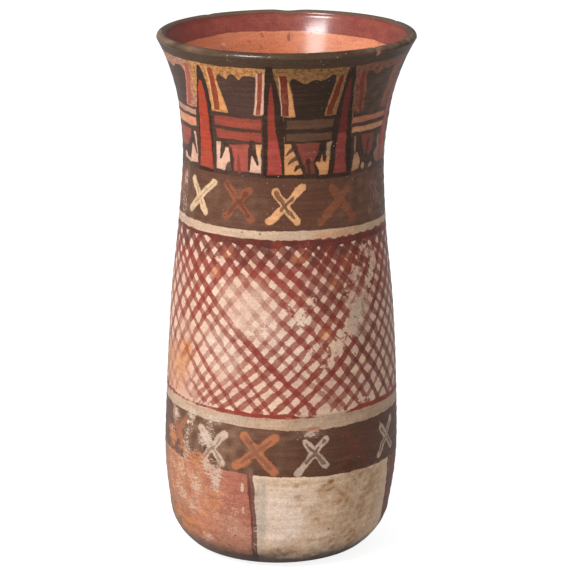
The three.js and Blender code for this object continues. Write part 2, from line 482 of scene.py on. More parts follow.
panelA = dict(
    dark=[area([(-84, 181), (-72, 181.3), (-68, 180.3), (-64, 181.7), (-59, 182), (-57, 181.4), (-56.3, 180),
                (-57.5, 177), (-60, 172), (-62.4, 168), (-62.5, 165), (-84, 165)], "brownBlack"),
          area([(-84, 167.4), (-52, 167.2), (-54, 145), (-84, 145)], "brownBlack")],
    fill=[area([(-53.6, 183.4), (-51, 183.4), (-52.2, 179), (-54.6, 174.5), (-57.8, 167.8), (-61, 167.8),
                (-58.4, 173), (-55.7, 179)], "paleStripe"),
          area([(-80, 166.6), (-53.6, 166.4), (-54, 164.4), (-80, 164.5)], "barPink"),
          area([(-80, 163.6), (-54.4, 163.2), (-54.8, 160.2), (-80, 160)], "barOrange"),
          area([(-80, 158.8), (-60.8, 158.6), (-62.4, 155.6), (-66, 152.6), (-70, 151.6), (-80, 152)],
               "rose", 0.8),
          area([(-58.9, 158.2), (-55.8, 158.2), (-55.5, 147), (-64, 146.8), (-62.6, 150.4), (-60.9, 153.7),
                (-58.2, 153)], "pinkCream"),
          area([(-72.6, 147), (-71.6, 149.8), (-69, 149.4), (-67.6, 147.6), (-63.4, 147.8), (-63.2, 146.4)],
               "pinkCream")],
    mark=[stroke([(-59.2, 157.4), (-58.2, 153.6), (-56.8, 150.4)], [1.9, 1.6, 0.9], "shadow")],
)
panelB = dict(
    dark=[area([(-34.8, 179.3), (-34, 180.8), (-32.5, 181.3), (-30.7, 180.6), (-29, 179.6), (-27.8, 181.3),
                (-26, 182), (-24, 181.2), (-22.5, 179.8), (-20.5, 181.2), (-17, 181.6), (-14.5, 181.3),
                (-13.5, 180.5), (-14.5, 176), (-15.5, 170), (-16, 165), (-30.3, 165), (-31, 169), (-33.5, 175)],
               "brownBlack"),
          area([(-42, 167.3), (-11.6, 167), (-11.3, 145), (-42, 145)], "greyBlack")],
    fill=[area([(-36, 179), (-34.8, 177.6), (-33.3, 173.5), (-31, 167.9), (-37.4, 167.9), (-37.4, 179)],
               "orangeGround"),
          area([(-39.8, 182.8), (-38.2, 182.8), (-37.8, 167.8), (-40.2, 167.8)], "paleOchre", 0.9),
          area([(-13.7, 182.8), (-9.7, 182.8), (-10.6, 175), (-11, 167.4), (-16.3, 167.4), (-14.9, 175)],
               "pinkCream"),
          area([(-40.1, 165.9), (-12.3, 165.7), (-12.2, 162), (-39.8, 162.4)], "barRed"),
          area([(-39.6, 161.1), (-12.2, 160.9), (-12.1, 157.6), (-38.9, 157.9)], "barRed"),
          area([(-39.7, 156.4), (-34.4, 156.4), (-33, 154.6), (-31.9, 155), (-30.4, 150), (-29.8, 146.4),
                (-39.9, 146.6)], "pinkCream"),
          area([(-31.6, 155.9), (-19, 156.6), (-20, 151), (-19.5, 146.6), (-28.7, 146.6), (-28.2, 151)], "rose"),
          area([(-17.4, 156.6), (-12.4, 156.6), (-12.6, 152), (-17.4, 152)], "paleOchre"),
          area([(-18, 152.6), (-12.5, 152.6), (-12.4, 146.5), (-19.2, 146.6)], "pinkCream")],
    mark=[area([(-38.9, 183.2), (-36, 183.2), (-35.6, 175), (-35.9, 167.8), (-39.3, 167.8), (-39, 175)],
               "stripeRed"),
          area([(-12.9, 183), (-10.7, 183), (-11.6, 175), (-12.8, 167.4), (-15.2, 167.4), (-13.8, 175)],
               "stripeRed"),
          stroke([(-34.2, 156.8), (-35.4, 154), (-36.9, 150.8)], [2.3, 2.0, 0.9], "shadow"),
          stroke([(-33.2, 146), (-32.2, 148.4), (-31.4, 149.8)], [1.5, 1.0, 0.4], "shadow"),
          stroke([(-31.2, 149.6), (-31, 146.4)], [0.5, 0.9], "shadow"),
          stroke([(-25.2, 146.4), (-25.6, 153)], [1.5, 0.5], "dullRed"),
          stroke([(-17.6, 157), (-16.2, 153), (-14.5, 149.4)], [2.4, 1.9, 1.0], "shadow"),
          stroke([(-30.2, 154.5), (-29.8, 147)], [0.9, 1.1], "shadow"),
          stroke([(-19.2, 155), (-19.4, 147.5)], [1.2, 0.8], "shadow")],
)
panelC = dict(
    dark=[area([(1.6, 179.6), (2.2, 180.7), (3.6, 180.9), (6, 180.2), (8.4, 179), (10.2, 178.9), (12, 180),
                (14.2, 180.4), (16.8, 179.5), (19, 180.3), (21.6, 182), (23.6, 181.7), (24, 179), (23, 175),
                (21, 168), (20.6, 165), (5.8, 165), (5, 169), (3.4, 175)], "blackSlip"),
          area([(-0.4, 166.8), (28, 166.8), (27, 144), (0.5, 145)], "blackSlip")],
    fill=[area([(-3.7, 181.6), (-1.2, 181.6), (-0.1, 175), (0.9, 167.2), (-1.8, 167.2), (-2.8, 175)],
               "pinkCream", 0.8),
          area([(-1, 180), (1.2, 179.6), (3, 175), (4.8, 169), (5.3, 167), (1, 167), (0, 175)], "dimOchre"),
          area([(1, 165.6), (27, 165.6), (26.6, 162.4), (0.9, 162.4)], "greyBrown"),
          area([(0.9, 160.9), (26.5, 160.7), (26.2, 157.9), (0.8, 157.9)], "greyBrown"),
          area([(0, 157), (3.6, 157), (5.2, 155), (6.6, 152.6), (8.6, 149.8), (10.9, 146.2), (0.5, 146)],
               "dimOchre"),
          area([(6.3, 157.3), (19.6, 157.3), (18.6, 153), (16.6, 150), (14.8, 150.6), (13.2, 152), (11.8, 149.4),
                (10.2, 149.6), (8, 153)], "dullRed"),
          area([(11, 150), (12.4, 146.4), (18, 146.2), (17, 150)], "dullRed", 0.7),
          area([(23.4, 157.2), (27, 157.4), (26, 151), (23.6, 152.6)], "tan"),
          area([(20.2, 145.6), (25.2, 145.6), (25.8, 149), (26, 152), (24.6, 152.4), (23.6, 149.8), (22, 150.6),
                (21.2, 153.6), (20.6, 150), (18.6, 150.6), (17.8, 150), (19.4, 147.6)], "dimOchre")],
    mark=[area([(-3.2, 182), (0.2, 182), (1.4, 175), (2.3, 167.2), (-1.3, 167.2), (-2.2, 175)], "darkStripe"),
          area([(26, 181.4), (28.2, 181.4), (27.2, 175), (25, 167.2), (21.9, 167.2), (24.2, 175)], "darkStripe"),
          stroke([(5.2, 155.4), (3, 154.6), (1.2, 153.2)], [1.6, 1.2, 0.5], "shadow"),
          stroke([(7.2, 152), (5, 151.2), (2.8, 149.8)], [1.6, 1.2, 0.6], "shadow"),
          stroke([(9.4, 149.2), (7.4, 148.8), (6.2, 147.6)], [1.6, 1.5, 0.8], "shadow"),
          stroke([(13.6, 150.8), (14.4, 146)], [1.6, 1.0], "shadow"),
          stroke([(23.4, 155), (22.6, 151.2)], [0.9, 0.7], "shadow"),
          stroke([(5.4, 157.6), (12, 145.8)], [1.0, 0.9], "shadow")],
)
panelD = dict(
    dark=[area([(41.2, 180), (42.4, 181.7), (45, 181.5), (47.6, 180), (50, 180.4), (53, 181.6), (56, 181),
                (61.6, 182), (62, 180), (60.4, 165), (46, 165), (44.6, 174)], "greyBlack"),
          area([(38.5, 166.8), (67.5, 166), (67, 144.5), (40.5, 144.5)], "greyBlack")],
    fill=[area([(37.4, 182), (39.4, 182), (41.6, 176), (44.2, 167), (42.2, 167), (39.2, 176)], "stripeRed"),
          area([(63.4, 182), (65.4, 182), (64.8, 175), (63.4, 167.2), (61.6, 167.2), (63, 175)], "paleStripe"),
          area([(38.4, 165), (68, 164.4), (68, 162.6), (38.8, 162.7)], "terracotta"),
          area([(39.2, 161.2), (68, 161), (68, 158.9), (39.6, 159.2)], "orangeTan"),
          area([(41, 158), (42.6, 158), (43.6, 153.4), (42.6, 151.8), (41.8, 153.6)], "tan", 0.8),
          area([(42.4, 151.4), (44.6, 152), (46.4, 150.6), (47.6, 148.4), (46.2, 146), (41.2, 145.4), (41.4, 149)],
               "warmTan"),
          area([(48, 146.6), (49.2, 148), (51, 147.6), (51.4, 146), (50, 145.2)], "warmTan"),
          area([(47, 158), (62, 157.6), (60, 152), (55, 150), (51.4, 150.4), (49, 153)], "rose", 0.6),
          area([(55.6, 146.6), (58, 147.4), (59.6, 146), (58, 145.2), (55.4, 145.4)], "tan"),
          area([(60.4, 150), (63, 147), (67, 146), (67.4, 150), (66, 156.6), (63.6, 156), (64, 151.6)],
               "tan", 0.8)],
    mark=[stroke([(60.6, 157), (59.4, 149.4)], [1.4, 0.7], "shadow"),
          stroke([(53.4, 155.6), (52.8, 149)], [1.1, 0.5], "shadow")],
)


def figuredRegister():
    # dark shapes, fillings and marks of the nine spires and nine panels; hidden ones are turned from the front
    layers = dict(dark=[], fill=[], mark=[])
    for turn in range(3):
        for number, spire in enumerate(spires):
            seed = 10 * turn + number if turn else 0
            degrees = 120 * turn
            layers["dark"] += turned([area(spire["outline"], "blackSlip")], degrees, seed)
            layers["fill"] += turned(spire["filling"], degrees, seed + turn)
    placed = [(panelA, 0, 0, {}), (panelB, 0, 0, {}), (panelC, 0, 0, {}), (panelD, 0, 0, {}),
              (panelB, 120, 4, {"barRed": "terracotta"}), (panelC, 120, 5, {}), (panelA, 240, 6, {}),
              (panelB, 240, 7, {}), (panelC, 240, 8, {"greyBrown": "orangeTan", "darkStripe": "stripeRed"})]
    for panel, degrees, seed, recolour in placed:
        for layer in layers:
            layers[layer] += turned(panel[layer], degrees, seed, recolour)
    return layers


# crosses on the dark bands: both arms, their width in mm, and the line drawn down the middle of each arm,
# with inside as the shares of each arm between which that line runs
upperCrosses = [
    dict(arms=[((-59.4, 140.6), (-47.6, 130.4)), ((-41.8, 141.4), (-61.4, 130.2))], width=2.8, paint="boneCream",
         inner=0.5, line="tan", load=1.0, inside=[(0.1, 0.9), (0.0, 0.8)]),
    dict(arms=[((-32.4, 141.4), (-17.6, 130)), ((-19.4, 140), (-33, 130.2))], width=2.9, paint="rustBrown",
         inner=1.3, line="darkRedCross", load=0.8, inside=[(0.0, 0.9), (0.08, 0.86)]),
    dict(arms=[((-4, 139.8), (7.4, 129.8)), ((10.4, 141.4), (-7.2, 129.8))], width=2.7, paint="paleOchre",
         inner=1.15, line="shadow", load=1.0, inside=[(0.04, 0.9), (0.28, 0.66)]),
    dict(arms=[((27.6, 141), (41.2, 129.4)), ((37.6, 139.6), (20.8, 128.8))], width=3.1, paint="rustBrown",
         inner=0.0, line="darkSlip", load=0.6),
    dict(arms=[((58.6, 139), (71, 130.8)), ((64, 138.6), (56, 129.8))], width=2.6, paint="pinkBrown", inner=0.8,
         line="darkSlip", load=0.7),
]
lowerCrosses = [
    dict(arms=[((-66, 54), (-54, 43)), ((-54, 54), (-66, 43))], width=2.8, paint="orangeCross", inner=0.6,
         line="crossShade", load=0.7),
    dict(arms=[((-42.2, 53.4), (-29.6, 42)), ((-28.4, 52.4), (-41.4, 41.4))], width=2.9, paint="greyCream",
         inner=0.9, line="pinkBrown", load=0.95),
    dict(arms=[((-17.6, 53.2), (-3.6, 40.6)), ((-2.8, 53), (-21.6, 41.8))], width=3.3, paint="orangeCross",
         inner=1.3, line="crossShade", load=1.0),
    dict(arms=[((11.4, 51.2), (21.6, 42.2)), ((21.6, 51.8), (8.2, 40))], width=2.6, paint="greyCream", inner=1.2,
         line="darkSlip", load=0.95, inside=[(0.06, 0.95), (0.05, 0.66)]),
    dict(arms=[((33, 52.6), (45.6, 40.6)), ((44.6, 51.6), (31.4, 41.4))], width=3.0, paint="darkRedCross",
         inner=0.0, line="brown", load=0.7),
    dict(arms=[((57.6, 50.6), (69.5, 41)), ((68.5, 51.5), (55.8, 40.2))], width=2.4, paint="greyCream", inner=0.9,
         line="brown", load=0.9),
]


# the hidden crosses: half their width in degrees and height in mm, how far each measure strays, and how
# unevenly the brush drew every arm and the line in it
crossHand = dict(reach=6.4, reachStray=0.5, lift=5.6, liftStray=0.3, footStray=0.8, headStray=0.5,
                 width=2.7, inner=1.0, load=0.9, inside=[(0.06, 0.93), (0.12, 0.88)],
                 armPoints=7, armStray=(0.2, 0.1), armUneven=0.10,
                 linePoints=6, lineStray=(0.25, 0.1), lineUneven=0.28, lineLoad=0.85)


def hiddenCross(number, centre, middle, paint, line):
    hand = crossHand
    shake = np.random.default_rng(100 + number)
    reach = hand["reach"] + shake.normal(0, hand["reachStray"])
    lift = hand["lift"] + shake.normal(0, hand["liftStray"])
    low, high = middle - lift, middle + lift
    falling = ((centre - reach, high), (centre + reach + shake.normal(0, hand["footStray"]), low))
    rising = ((centre + reach, high + shake.normal(0, hand["headStray"])),
              (centre - reach - shake.normal(0, hand["footStray"]), low))
    return dict(arms=[falling, rising], width=hand["width"], paint=paint, inner=hand["inner"], line=line,
                load=hand["load"])


def brushedLine(ends, span, count, stray, shake):
    # points along a part of an arm, each a little off the straight line
    start, end = np.array(ends)
    return [start * (1 - t) + end * t + shake.normal(0, stray) for t in np.linspace(*span, count)]


def crossRow(shown, spacing, first, count, middle, paints):
    # the crosses seen from the front, then others at the same spacing round the back
    layers = dict(fill=[], mark=[])
    hidden = [hiddenCross(number, first + spacing * number, middle, *paints[number % len(paints)])
              for number in range(count)]
    hand = crossHand
    for number, cross in enumerate(shown + hidden):
        shake = np.random.default_rng(300 + 40 * count + number)
        for ends, span in zip(cross["arms"], cross.get("inside", hand["inside"])):
            arm = brushedLine(ends, (0, 1), hand["armPoints"], hand["armStray"], shake)
            wide = cross["width"] * (1 + shake.normal(0, hand["armUneven"], hand["armPoints"]))
            layers["fill"].append(stroke(arm, wide, cross["paint"], cross["load"]))
            if cross["inner"]:
                core = brushedLine(ends, span, hand["linePoints"], hand["lineStray"], shake)
                thin = cross["inner"] * np.clip(shake.normal(1, hand["lineUneven"], hand["linePoints"]), 0.3, 1.5)
                layers["mark"].append(stroke(core, thin, cross["line"], hand["lineLoad"]))
    return layers


# the lattice strokes: degrees round at each of these heights, then width in mm and load. Those seen from the
# front were placed one by one, and the rest follow at even steps with the width and load in latticeHand
latticeHeights = [112, 92, 72]
fallingStrokes = [
    (-117, -91, -63, 1.9, 0.80), (-108, -82, -54, 1.8, 0.75), (-98, -71.5, -44, 1.9, 0.85),
    (-89, -61.2, -34.5, 1.8, 0.90), (-80, -50.6, -23, 1.8, 0.85), (-71.5, -40.3, -15.2, 1.8, 0.85),
    (-64, -32.5, -4.7, 1.8, 0.85), (-54.7, -24.8, 3.3, 2.3, 1.00), (-44.5, -15.3, 14.3, 2.0, 0.70),
    (-34.9, -6.6, 19.8, 1.9, 0.80), (-25.5, 3.2, 29.5, 2.1, 0.90), (-16.2, 12.8, 37.3, 2.2, 0.90),
    (-6.8, 22.5, 46, 2.2, 0.95), (2.7, 31, 55, 2.2, 0.95), (12.4, 40, 63, 2.2, 0.90), (21.5, 48.5, 72, 2.2, 0.9),
    (29, 57, 81, 2.1, 0.85), (36, 65, 90, 2.1, 0.85), (43.5, 74, 99, 2.1, 0.85), (52, 83, 108, 2.1, 0.85),
    (61, 92, 117, 2.0, 0.85), (70, 101, 126, 2.0, 0.85),
]
risingStrokes = [
    (-97, -118, -136, 1.9, 0.80), (-87, -108, -126, 1.9, 0.80), (-78, -98, -116, 1.9, 0.80),
    (-69, -88, -106, 2.0, 0.85), (-60, -79, -97, 2.0, 0.85), (-50, -69.5, -86, 2.1, 0.90),
    (-41, -60.6, -77, 2.1, 0.90), (-32, -52.3, -70, 2.1, 0.95), (-23.4, -44.3, -64, 2.0, 0.90),
    (-13.8, -36, -57, 1.9, 0.75), (-4.2, -27.3, -48.6, 1.9, 0.65), (5.3, -19, -41.7, 2.0, 0.65),
    (13.6, -10.8, -35.7, 2.1, 0.75), (21, -2.2, -28.9, 2.1, 0.80), (29.3, 6.2, -21.8, 2.2, 0.85),
    (37, 13.9, -14.2, 2.2, 0.90), (44.5, 22, -6.0, 2.2, 0.90), (52.5, 30, 2.5, 2.1, 0.95),
    (61, 38.5, 11.3, 2.1, 1.00), (70, 47.5, 20, 2.2, 1.00), (79, 57, 30, 2.1, 0.9), (88, 66, 39, 2.1, 0.85),
    (97, 76, 49, 2.1, 0.85),
]
latticeHand = dict(count=39, angleStray=0.6, width=2.0, widthStray=0.2, load=0.85, loadStray=0.06,
                   top=122.0, low=61.8, points=9, stray=0.25, uneven=0.10,
                   thickerAt=[80, 98, 112], thicker=[0.92, 1.0, 1.26])


def latticeStrokes(placed, paint, seed):
    hand = latticeHand
    shake = np.random.default_rng(seed)
    first, last = np.array(placed[0][:3]) + 360, np.array(placed[-1][:3])
    lacking = hand["count"] - len(placed)
    rows = list(placed)
    for number in range(1, lacking + 1):
        angles = last + (first - last) * number / (lacking + 1) + shake.normal(0, hand["angleStray"])
        wide = hand["width"] + shake.normal(0, hand["widthStray"])
        rows.append((*angles, wide, hand["load"] + shake.normal(0, hand["loadStray"])))
    heights = np.linspace(hand["top"], hand["low"], hand["points"])
    thicker = np.interp(heights, hand["thickerAt"], hand["thicker"])
    made = []
    for *angles, wide, load in rows:
        bend = np.polyfit(latticeHeights, angles, 2)
        points = [(np.polyval(bend, z) + shake.normal(0, hand["stray"]), z) for z in heights]
        widths = [wide * (1 + shake.normal(0, hand["uneven"])) * more for more in thicker]
        made.append(stroke(points, widths, paint, load))
    return made


# panels of the foot register: edges of the red ones, and the dark lines that part them
footPanels = dict(
    red=[area([(-128, 41), (-15, 41), (-13, 22), (-13.4, -4), (-128, -4)], "rosePaint"),
         area([(67.6, 41), (150, 41), (151, -4), (71, -4)], "redBrown")],
    lines=[stroke([(-14.7, 40), (-13.7, 30), (-12.6, 20), (-12.5, 10), (-13.4, 3), (-14.2, -4)],
                  [2.3, 2.0, 1.9, 2.1, 2.2, 1.8], "partingLine", 0.9),
           stroke([(66.6, 39), (68.2, 22), (70.4, 4)], [1.5, 1.6, 1.5], "darkSlip"),
           stroke([(150.4, 40), (151, 2)], [2.1, 1.8], "darkSlip"),
           stroke([(-128, 40), (-127, 2)], [2.1, 1.8], "darkSlip")],
)


aboveLip = 200  # a height in mm past everything


def gatherShapes():
    # every shape of paint on the outside, from the lowest layer to the topmost
    figures = figuredRegister()
    upper = crossRow(upperCrosses, spacing=27.4, first=91, count=8, middle=135.6,
                     paints=[("boneCream", "tan"), ("rustBrown", "crossShade"), ("paleOchre", "shadow")])
    lower = crossRow(lowerCrosses, spacing=24.6, first=88, count=8, middle=47,
                     paints=[("orangeCross", "crossShade"), ("greyCream", "pinkBrown"), ("darkRedCross", "brown")])
    # the ochre ground pinker on the left, darker over the third panel and browner on the right, the brown partly
    # painted warm shade
    tints = [area([(-92, 187), (-50, 187), (-54, 160), (-92, 160)], "pinkTan"),
             area([(-8, 187), (33, 187), (33, 160), (-6, 160)], "darkOchre"),
             area([(33, 187), (84, 187), (84, 160), (33, 160)], "brownTan")]
    return dict(
        ground=[band(registers["figureLow"], aboveLip, "ochre")] + tints + footPanels["red"],
        dark=[band(registers["lipLow"], aboveLip, "lipSlip"),
              band(registers["lineOneTop"], registers["figureLow"], "darkSlip"),
              band(registers["latticeTop"], registers["lineOneLow"], "latticeDark"),
              band(registers["lineTwoTop"], registers["latticeLow"], "latticeRed"),
              band(registers["bandLow"], registers["lineTwoLow"], "darkSlip")]
        + footPanels["lines"] + figures["dark"],
        fill=figures["fill"] + upper["fill"] + lower["fill"] + latticeStrokes(fallingStrokes, "latticeRed", 21),
        mark=figures["mark"] + upper["mark"] + lower["mark"] + latticeStrokes(risingStrokes, "latticeRed", 22),
    )


shapes = gatherShapes()
print("paint laid out:", {layer: len(found) for layer, found in shapes.items()})

# where time has been hard on it, and where light and shade are painted: (degrees round, height, half width in
# degrees, half height, how much)
spots = dict(
    # slip worn through to the clay in flakes
    wear=[(-62, 24, 26, 22, 0.58), (-40, 22, 18, 16, 0.50), (-66, 44, 16, 9, 0.56), (-46, 41, 16, 5, 0.57),
          (-34, 40, 8, 4, 0.44), (-26, 14, 14, 8, 0.34), (-58, 57, 22, 3, 0.30), (-76, 134, 8, 16, 0.3),
          (43, 188.6, 1.5, 1.8, 0.85), (128, 60, 24, 18, 0.35), (-150, 110, 20, 16, 0.3), (-160, 20, 26, 12, 0.4),
          (100, 160, 12, 10, 0.25), (15, 55.5, 12, 1.6, 0.45), (40, 37.8, 24, 1.0, 0.4), (-24, 137, 9, 5, 0.2),
          (-2, 60, 10, 1.2, 0.4), (112, 24, 26, 18, 0.44), (86, 34, 14, 8, 0.40), (-100, 22, 26, 18, 0.46)],
    # pale mineral crust
    pale=[(-35, 37, 8, 9, 0.56), (-50, 46, 7, 9, 0.46), (-54, 30, 24, 16, 0.47), (-18.3, 33.5, 1.1, 2.6, 0.66),
          (-18, 25, 1.0, 2.4, 0.62), (-17, 18.5, 1.0, 1.8, 0.58), (-40, 11, 6, 3, 0.52), (-66, 52, 8, 8, 0.42),
          (-45, 57, 20, 2.4, 0.52), (-72, 134, 6, 15, 0.45), (74, 134, 5, 14, 0.35), (-12, 14, 3, 8, 0.42),
          (18, 54, 10, 2.0, 0.5), (-38, 50, 10, 6, 0.50), (-27, 22, 10, 14, 0.38), (150, 30, 20, 12, 0.5),
          (100, 26, 26, 14, 0.40), (-104, 30, 22, 14, 0.46)],
    # the upper paint lost in flakes
    missing=[(40, 97, 7, 10, 0.44), (37, 89, 10, 4, 0.42), (27, 86, 10, 5, 0.41), (44, 102, 14, 14, 0.36),
             (20, 82, 12, 6, 0.37), (24, 61.5, 10, 3, 0.46), (44, 63, 5, 2, 0.42), (-16, 96, 15, 12, 0.31),
             (10, 98, 14, 8, 0.34), (-38, 117, 12, 4, 0.30), (52, 112, 12, 10, 0.37),
             (140, 96, 14, 12, 0.46), (-130, 84, 18, 9, 0.42), (-170, 136, 12, 8, 0.42), (-50, 62, 26, 2, 0.42),
             (-60, 70, 14, 10, 0.38), (-50, 55, 24, 3, 0.40), (18, 56, 12, 2, 0.40)],
    # the upper paint rubbed thin
    faded=[(-17, 99, 14, 10, 0.52), (-29, 102, 8, 7, 0.36), (-8, 93, 9, 8, 0.34), (-28, 78, 8, 8, 0.36),
           (-58, 86, 9, 5, 0.45), (-68, 72, 16, 9, 0.60), (-60, 64, 16, 4, 0.5), (43, 96, 9, 10, 0.45),
           (-20, 106, 10, 4, 0.35), (-38, 88, 8, 6, 0.25), (160, 80, 26, 14, 0.5), (-120, 100, 18, 12, 0.45)],
    # a pale brown film on the dark bands: dust, and on their left and right a painted sheen
    filmAndSheen=[(-40, 48, 34, 14, 0.44), (-4, 48, 12, 10, 0.13), (2, 55, 22, 3, 0.26), (-30, 134, 24, 10, 0.14),
          (-70, 134, 14, 14, 0.25), (52, 134, 24, 12, 0.20), (56, 172, 16, 12, 0.13),
          (170, 48, 60, 12, 0.3)],
    # cream painted nearly white: paler patches in the lattice, and a painted highlight on the foot's cream panel
    paleAndHighlight=[(-12, 96, 20, 13, 0.35), (0, 88, 18, 12, 0.5), (-30, 84, 12, 10, 0.5), (-40, 104, 12, 8, 0.4),
            (1, 22, 13, 13, 0.9), (8, 30, 10, 5, 0.5), (18, 14, 8, 4, 0.5)],
    # cream painted whitish grey: a painted sheen down the left of the foot's cream panel and along the lower cream
    # line, and a grey patch in the lattice
    greyedAndSheen=[(-9.5, 24, 3.6, 18, 0.75), (-24, 58, 10, 2.4, 0.4), (42, 94, 7, 12, 0.5)],
    # ochre stains in the foot's cream
    ochred=[(22, 33.5, 7, 1.5, 0.65), (31, 32, 6, 1.3, 0.5), (9, 30.5, 3.5, 1.6, 0.45), (14, 25, 4, 2, 0.4),
            (18, 21, 3, 1.6, 0.4), (25, 35.5, 2, 1.2, 0.6), (6, 36, 12, 1.6, 0.35), (44, 30, 16, 12, 0.35),
            (38, 12, 16, 5, 0.4), (2, 9, 10, 2, 0.4)],
    # greenish dirt low on the left
    greened=[(-72, 15, 16, 8, 0.75), (-58, 10, 10, 4, 0.55), (-40, 7, 14, 3, 0.4), (-78, 30, 8, 12, 0.4)],
    # pink and orange in the red foot panels
    pinked=[(-24, 13, 12, 10, 0.85)],
    oranged=[(-56, 26, 28, 22, 0.80), (-36, 30, 10, 14, 0.5), (-104, 24, 24, 18, 0.4), (112, 24, 28, 18, 0.2)],
    # rusty stains in the cream
    rust=[(-37, 110, 3, 2, 0.8), (22, 89.5, 4, 2, 0.7), (-57, 78, 8, 6, 0.7), (28, 107, 4, 3, 0.5),
          (9, 117, 5, 2, 0.6), (-30, 117.5, 5, 2, 0.5), (-68, 72, 16, 9, 0.6), (36, 114, 5, 3, 0.45),
          (30, 124.6, 16, 1.6, 0.4), (110, 70, 14, 9, 0.5), (-140, 68, 18, 8, 0.5)],
    # brown stains, heavier to the right of the front, where they also paint warm shade
    stainAndShade=[(40, 26, 24, 20, 0.9), (26, 32, 10, 4, 0.7), (10, 29, 9, 5, 0.25), (52, 92, 34, 44, 0.28),
           (50, 124, 34, 3, 0.55), (50, 58, 34, 3, 0.5), (20, 12, 16, 5, 0.7), (55, 175, 26, 14, 0.4),
           (-62, 14, 20, 9, 0.7), (-30, 12, 12, 5, 0.5), (150, 120, 60, 60, 0.3), (-130, 40, 40, 30, 0.35),
           (0, 10, 14, 4, 0.6), (-25, 121, 50, 3, 0.3), (2, 58, 30, 3, 0.5)],
    # dark maroon where the lattice strokes lie thick along the top, and painted shade on the lattice to the right
    # of the front
    thickAndShaded=[(-8, 121, 80, 8, 0.7), (36, 116, 30, 12, 0.25), (60, 80, 34, 26, 0.5), (22, 104, 14, 10, 0.5),
           (-20, 121, 120, 6, 0.7), (180, 121, 120, 10, 0.7)],
)


spotEdge = dict(reach=1.35, uneven=0.3, size=9, seed=51)


def patchy(theta, z, mean, swing, size, seed):
    # a strength that comes and goes over patches of this size in mm
    return mean + swing * drift(theta, z, size, seed)


def spotted(name, theta, z):
    # soft uneven spots laid over each other
    total = np.zeros(len(z))
    for angle, height, wide, tall, much in spots[name]:
        away = (nearAngle(theta, angle) / wide) ** 2 + ((z - height) / tall) ** 2
        total = np.maximum(total, much * np.clip(spotEdge["reach"] - away, 0, 1))
    return np.clip(total * patchy(theta, z, 1, spotEdge["uneven"], spotEdge["size"], spotEdge["seed"]), 0, 1)


def tinted(colour, name, share):
    # vertex colours moved towards a named colour
    share = np.clip(share, 0, 1)[:, None]
    return colour * (1 - share) + linear(name) * share


def setAttribute(mesh, name, values):
    kind = "FLOAT_VECTOR" if values.ndim == 2 else "FLOAT"
    attribute = mesh.attributes.new(name, kind, "POINT")
    attribute.data.foreach_set("vector" if values.ndim == 2 else "value", values.astype(np.float32).ravel())


# heights in mm and angles in degrees between which each kind of paint lies
zones = dict(footHigh=39, lineTwo=(54, 61), lattice=(61, 123.3), lineOne=(122.8, 127), figuresLow=145,
             redPanels=[(-128, -14), (68, 150)], smoothLines=[(124.5, 1.6), (58, 2.2)])

# what the whole wall has: how mottled each paint is, where it shines, how ragged its edges are, dirt and painted
# shade at the foot
wallLooks = dict(
    mottle=dict(all=0.18, figures=0.82, cream=0.14, red=0.3, inside=-0.06),
    gloss=dict(maroonDepth=9, fade=2, clay=0.3, clayFrom=150, lip=0.6, lipFrom=187.6, lipFade=1.2),
    brushed=dict(smooth=0.45, rough=1.0),
    grimeAndShade=dict(height=11, fade=7, most=1.4, underneath=0.7),
)

# the lip is rubbed pale along its top, more at the sides and behind than in front
lipWear = dict(below=0.4, fade=1.6, least=0.06, most=0.94, sides=1.6, front=0.75, behind=0.7, behindWidth=26)

# the brush wandered by this many degrees and mm over patches of these sizes; low down the lattice is thinner,
# and darker where its strokes cross
brushWork = dict(around=(0.16, 7, 31), upwards=(0.10, 6, 32), fullLoad=0.95, fullFrom=100, fullOver=12,
                 crossingEdge=0.4, crossingShade=0.12)

# how far down inside the lip's slip and the maroon band go, in mm, the waves of their edges as (waves round, mm,
# phase), and stains in the clay below
insidePaint = dict(
    lipDepth=1.3, lipWaves=[(3, 0.12, 1), (8, 0.1, 0)], bandDepth=7.4, bandWaves=[(2, 0.35, 0.6), (9, 0.15, 0)],
    lipOverBand=0.4, wornEdge=0.35,
    marks=[stroke([(178.2, 182.2), (178.8, 180.6), (178.2, 179.4)], [0.5, 0.9, 0.5], "brown", 0.7),
           stroke([(193.6, 182), (192.6, 180.8)], [1.0, 0.5], "brown", 0.5),
           stroke([(202, 179.8), (200, 179.2)], [0.7, 0.9], "brown", 0.5),
           stroke([(218, 179.8), (216, 179.2)], [0.9, 0.7], "crust", 0.7),
           stroke([(168, 178), (150, 177.4)], [0.5, 0.3], "brown", 0.4),
           stroke([(190, 177), (212, 176.2)], [0.4, 0.3], "brown", 0.35)],
)


def between(values, low, high):
    return (values > low) & (values < high)


def plain(colour, z):
    return np.tile(linear(colour), (len(z), 1))


def creamUnder(theta, z, onLattice):
    # the cream slip under all: duller along the two lines, pinker under the lattice, stained in places, with a
    # painted highlight and sheen on the foot's cream panel and a painted sheen on the lower cream line
    lines = 0.8 * between(z, *zones["lineTwo"]) + 0.6 * between(z, *zones["lineOne"])
    under = tinted(plain("cream", z), "lineCream", lines)
    under = tinted(under, "latticeCream", onLattice * patchy(theta, z, 0.75, 0.4, 14, 71))
    under = tinted(under, "pinkTan", spotted("faded", theta, z) * onLattice * 0.5)
    # a painted highlight on the foot's cream panel, and paler patches in the lattice
    under = tinted(under, "whiteCream", spotted("paleAndHighlight", theta, z))
    # painted sheen, whitish grey, on the foot's cream panel and the lower cream line
    under = tinted(under, "greyWhite", spotted("greyedAndSheen", theta, z))
    under = tinted(under, "ochreStain", spotted("ochred", theta, z) * patchy(theta, z, 0.7, 0.5, 3, 72))
    return tinted(under, "rust", spotted("rust", theta, z) * (z < zones["lineOne"][1]))


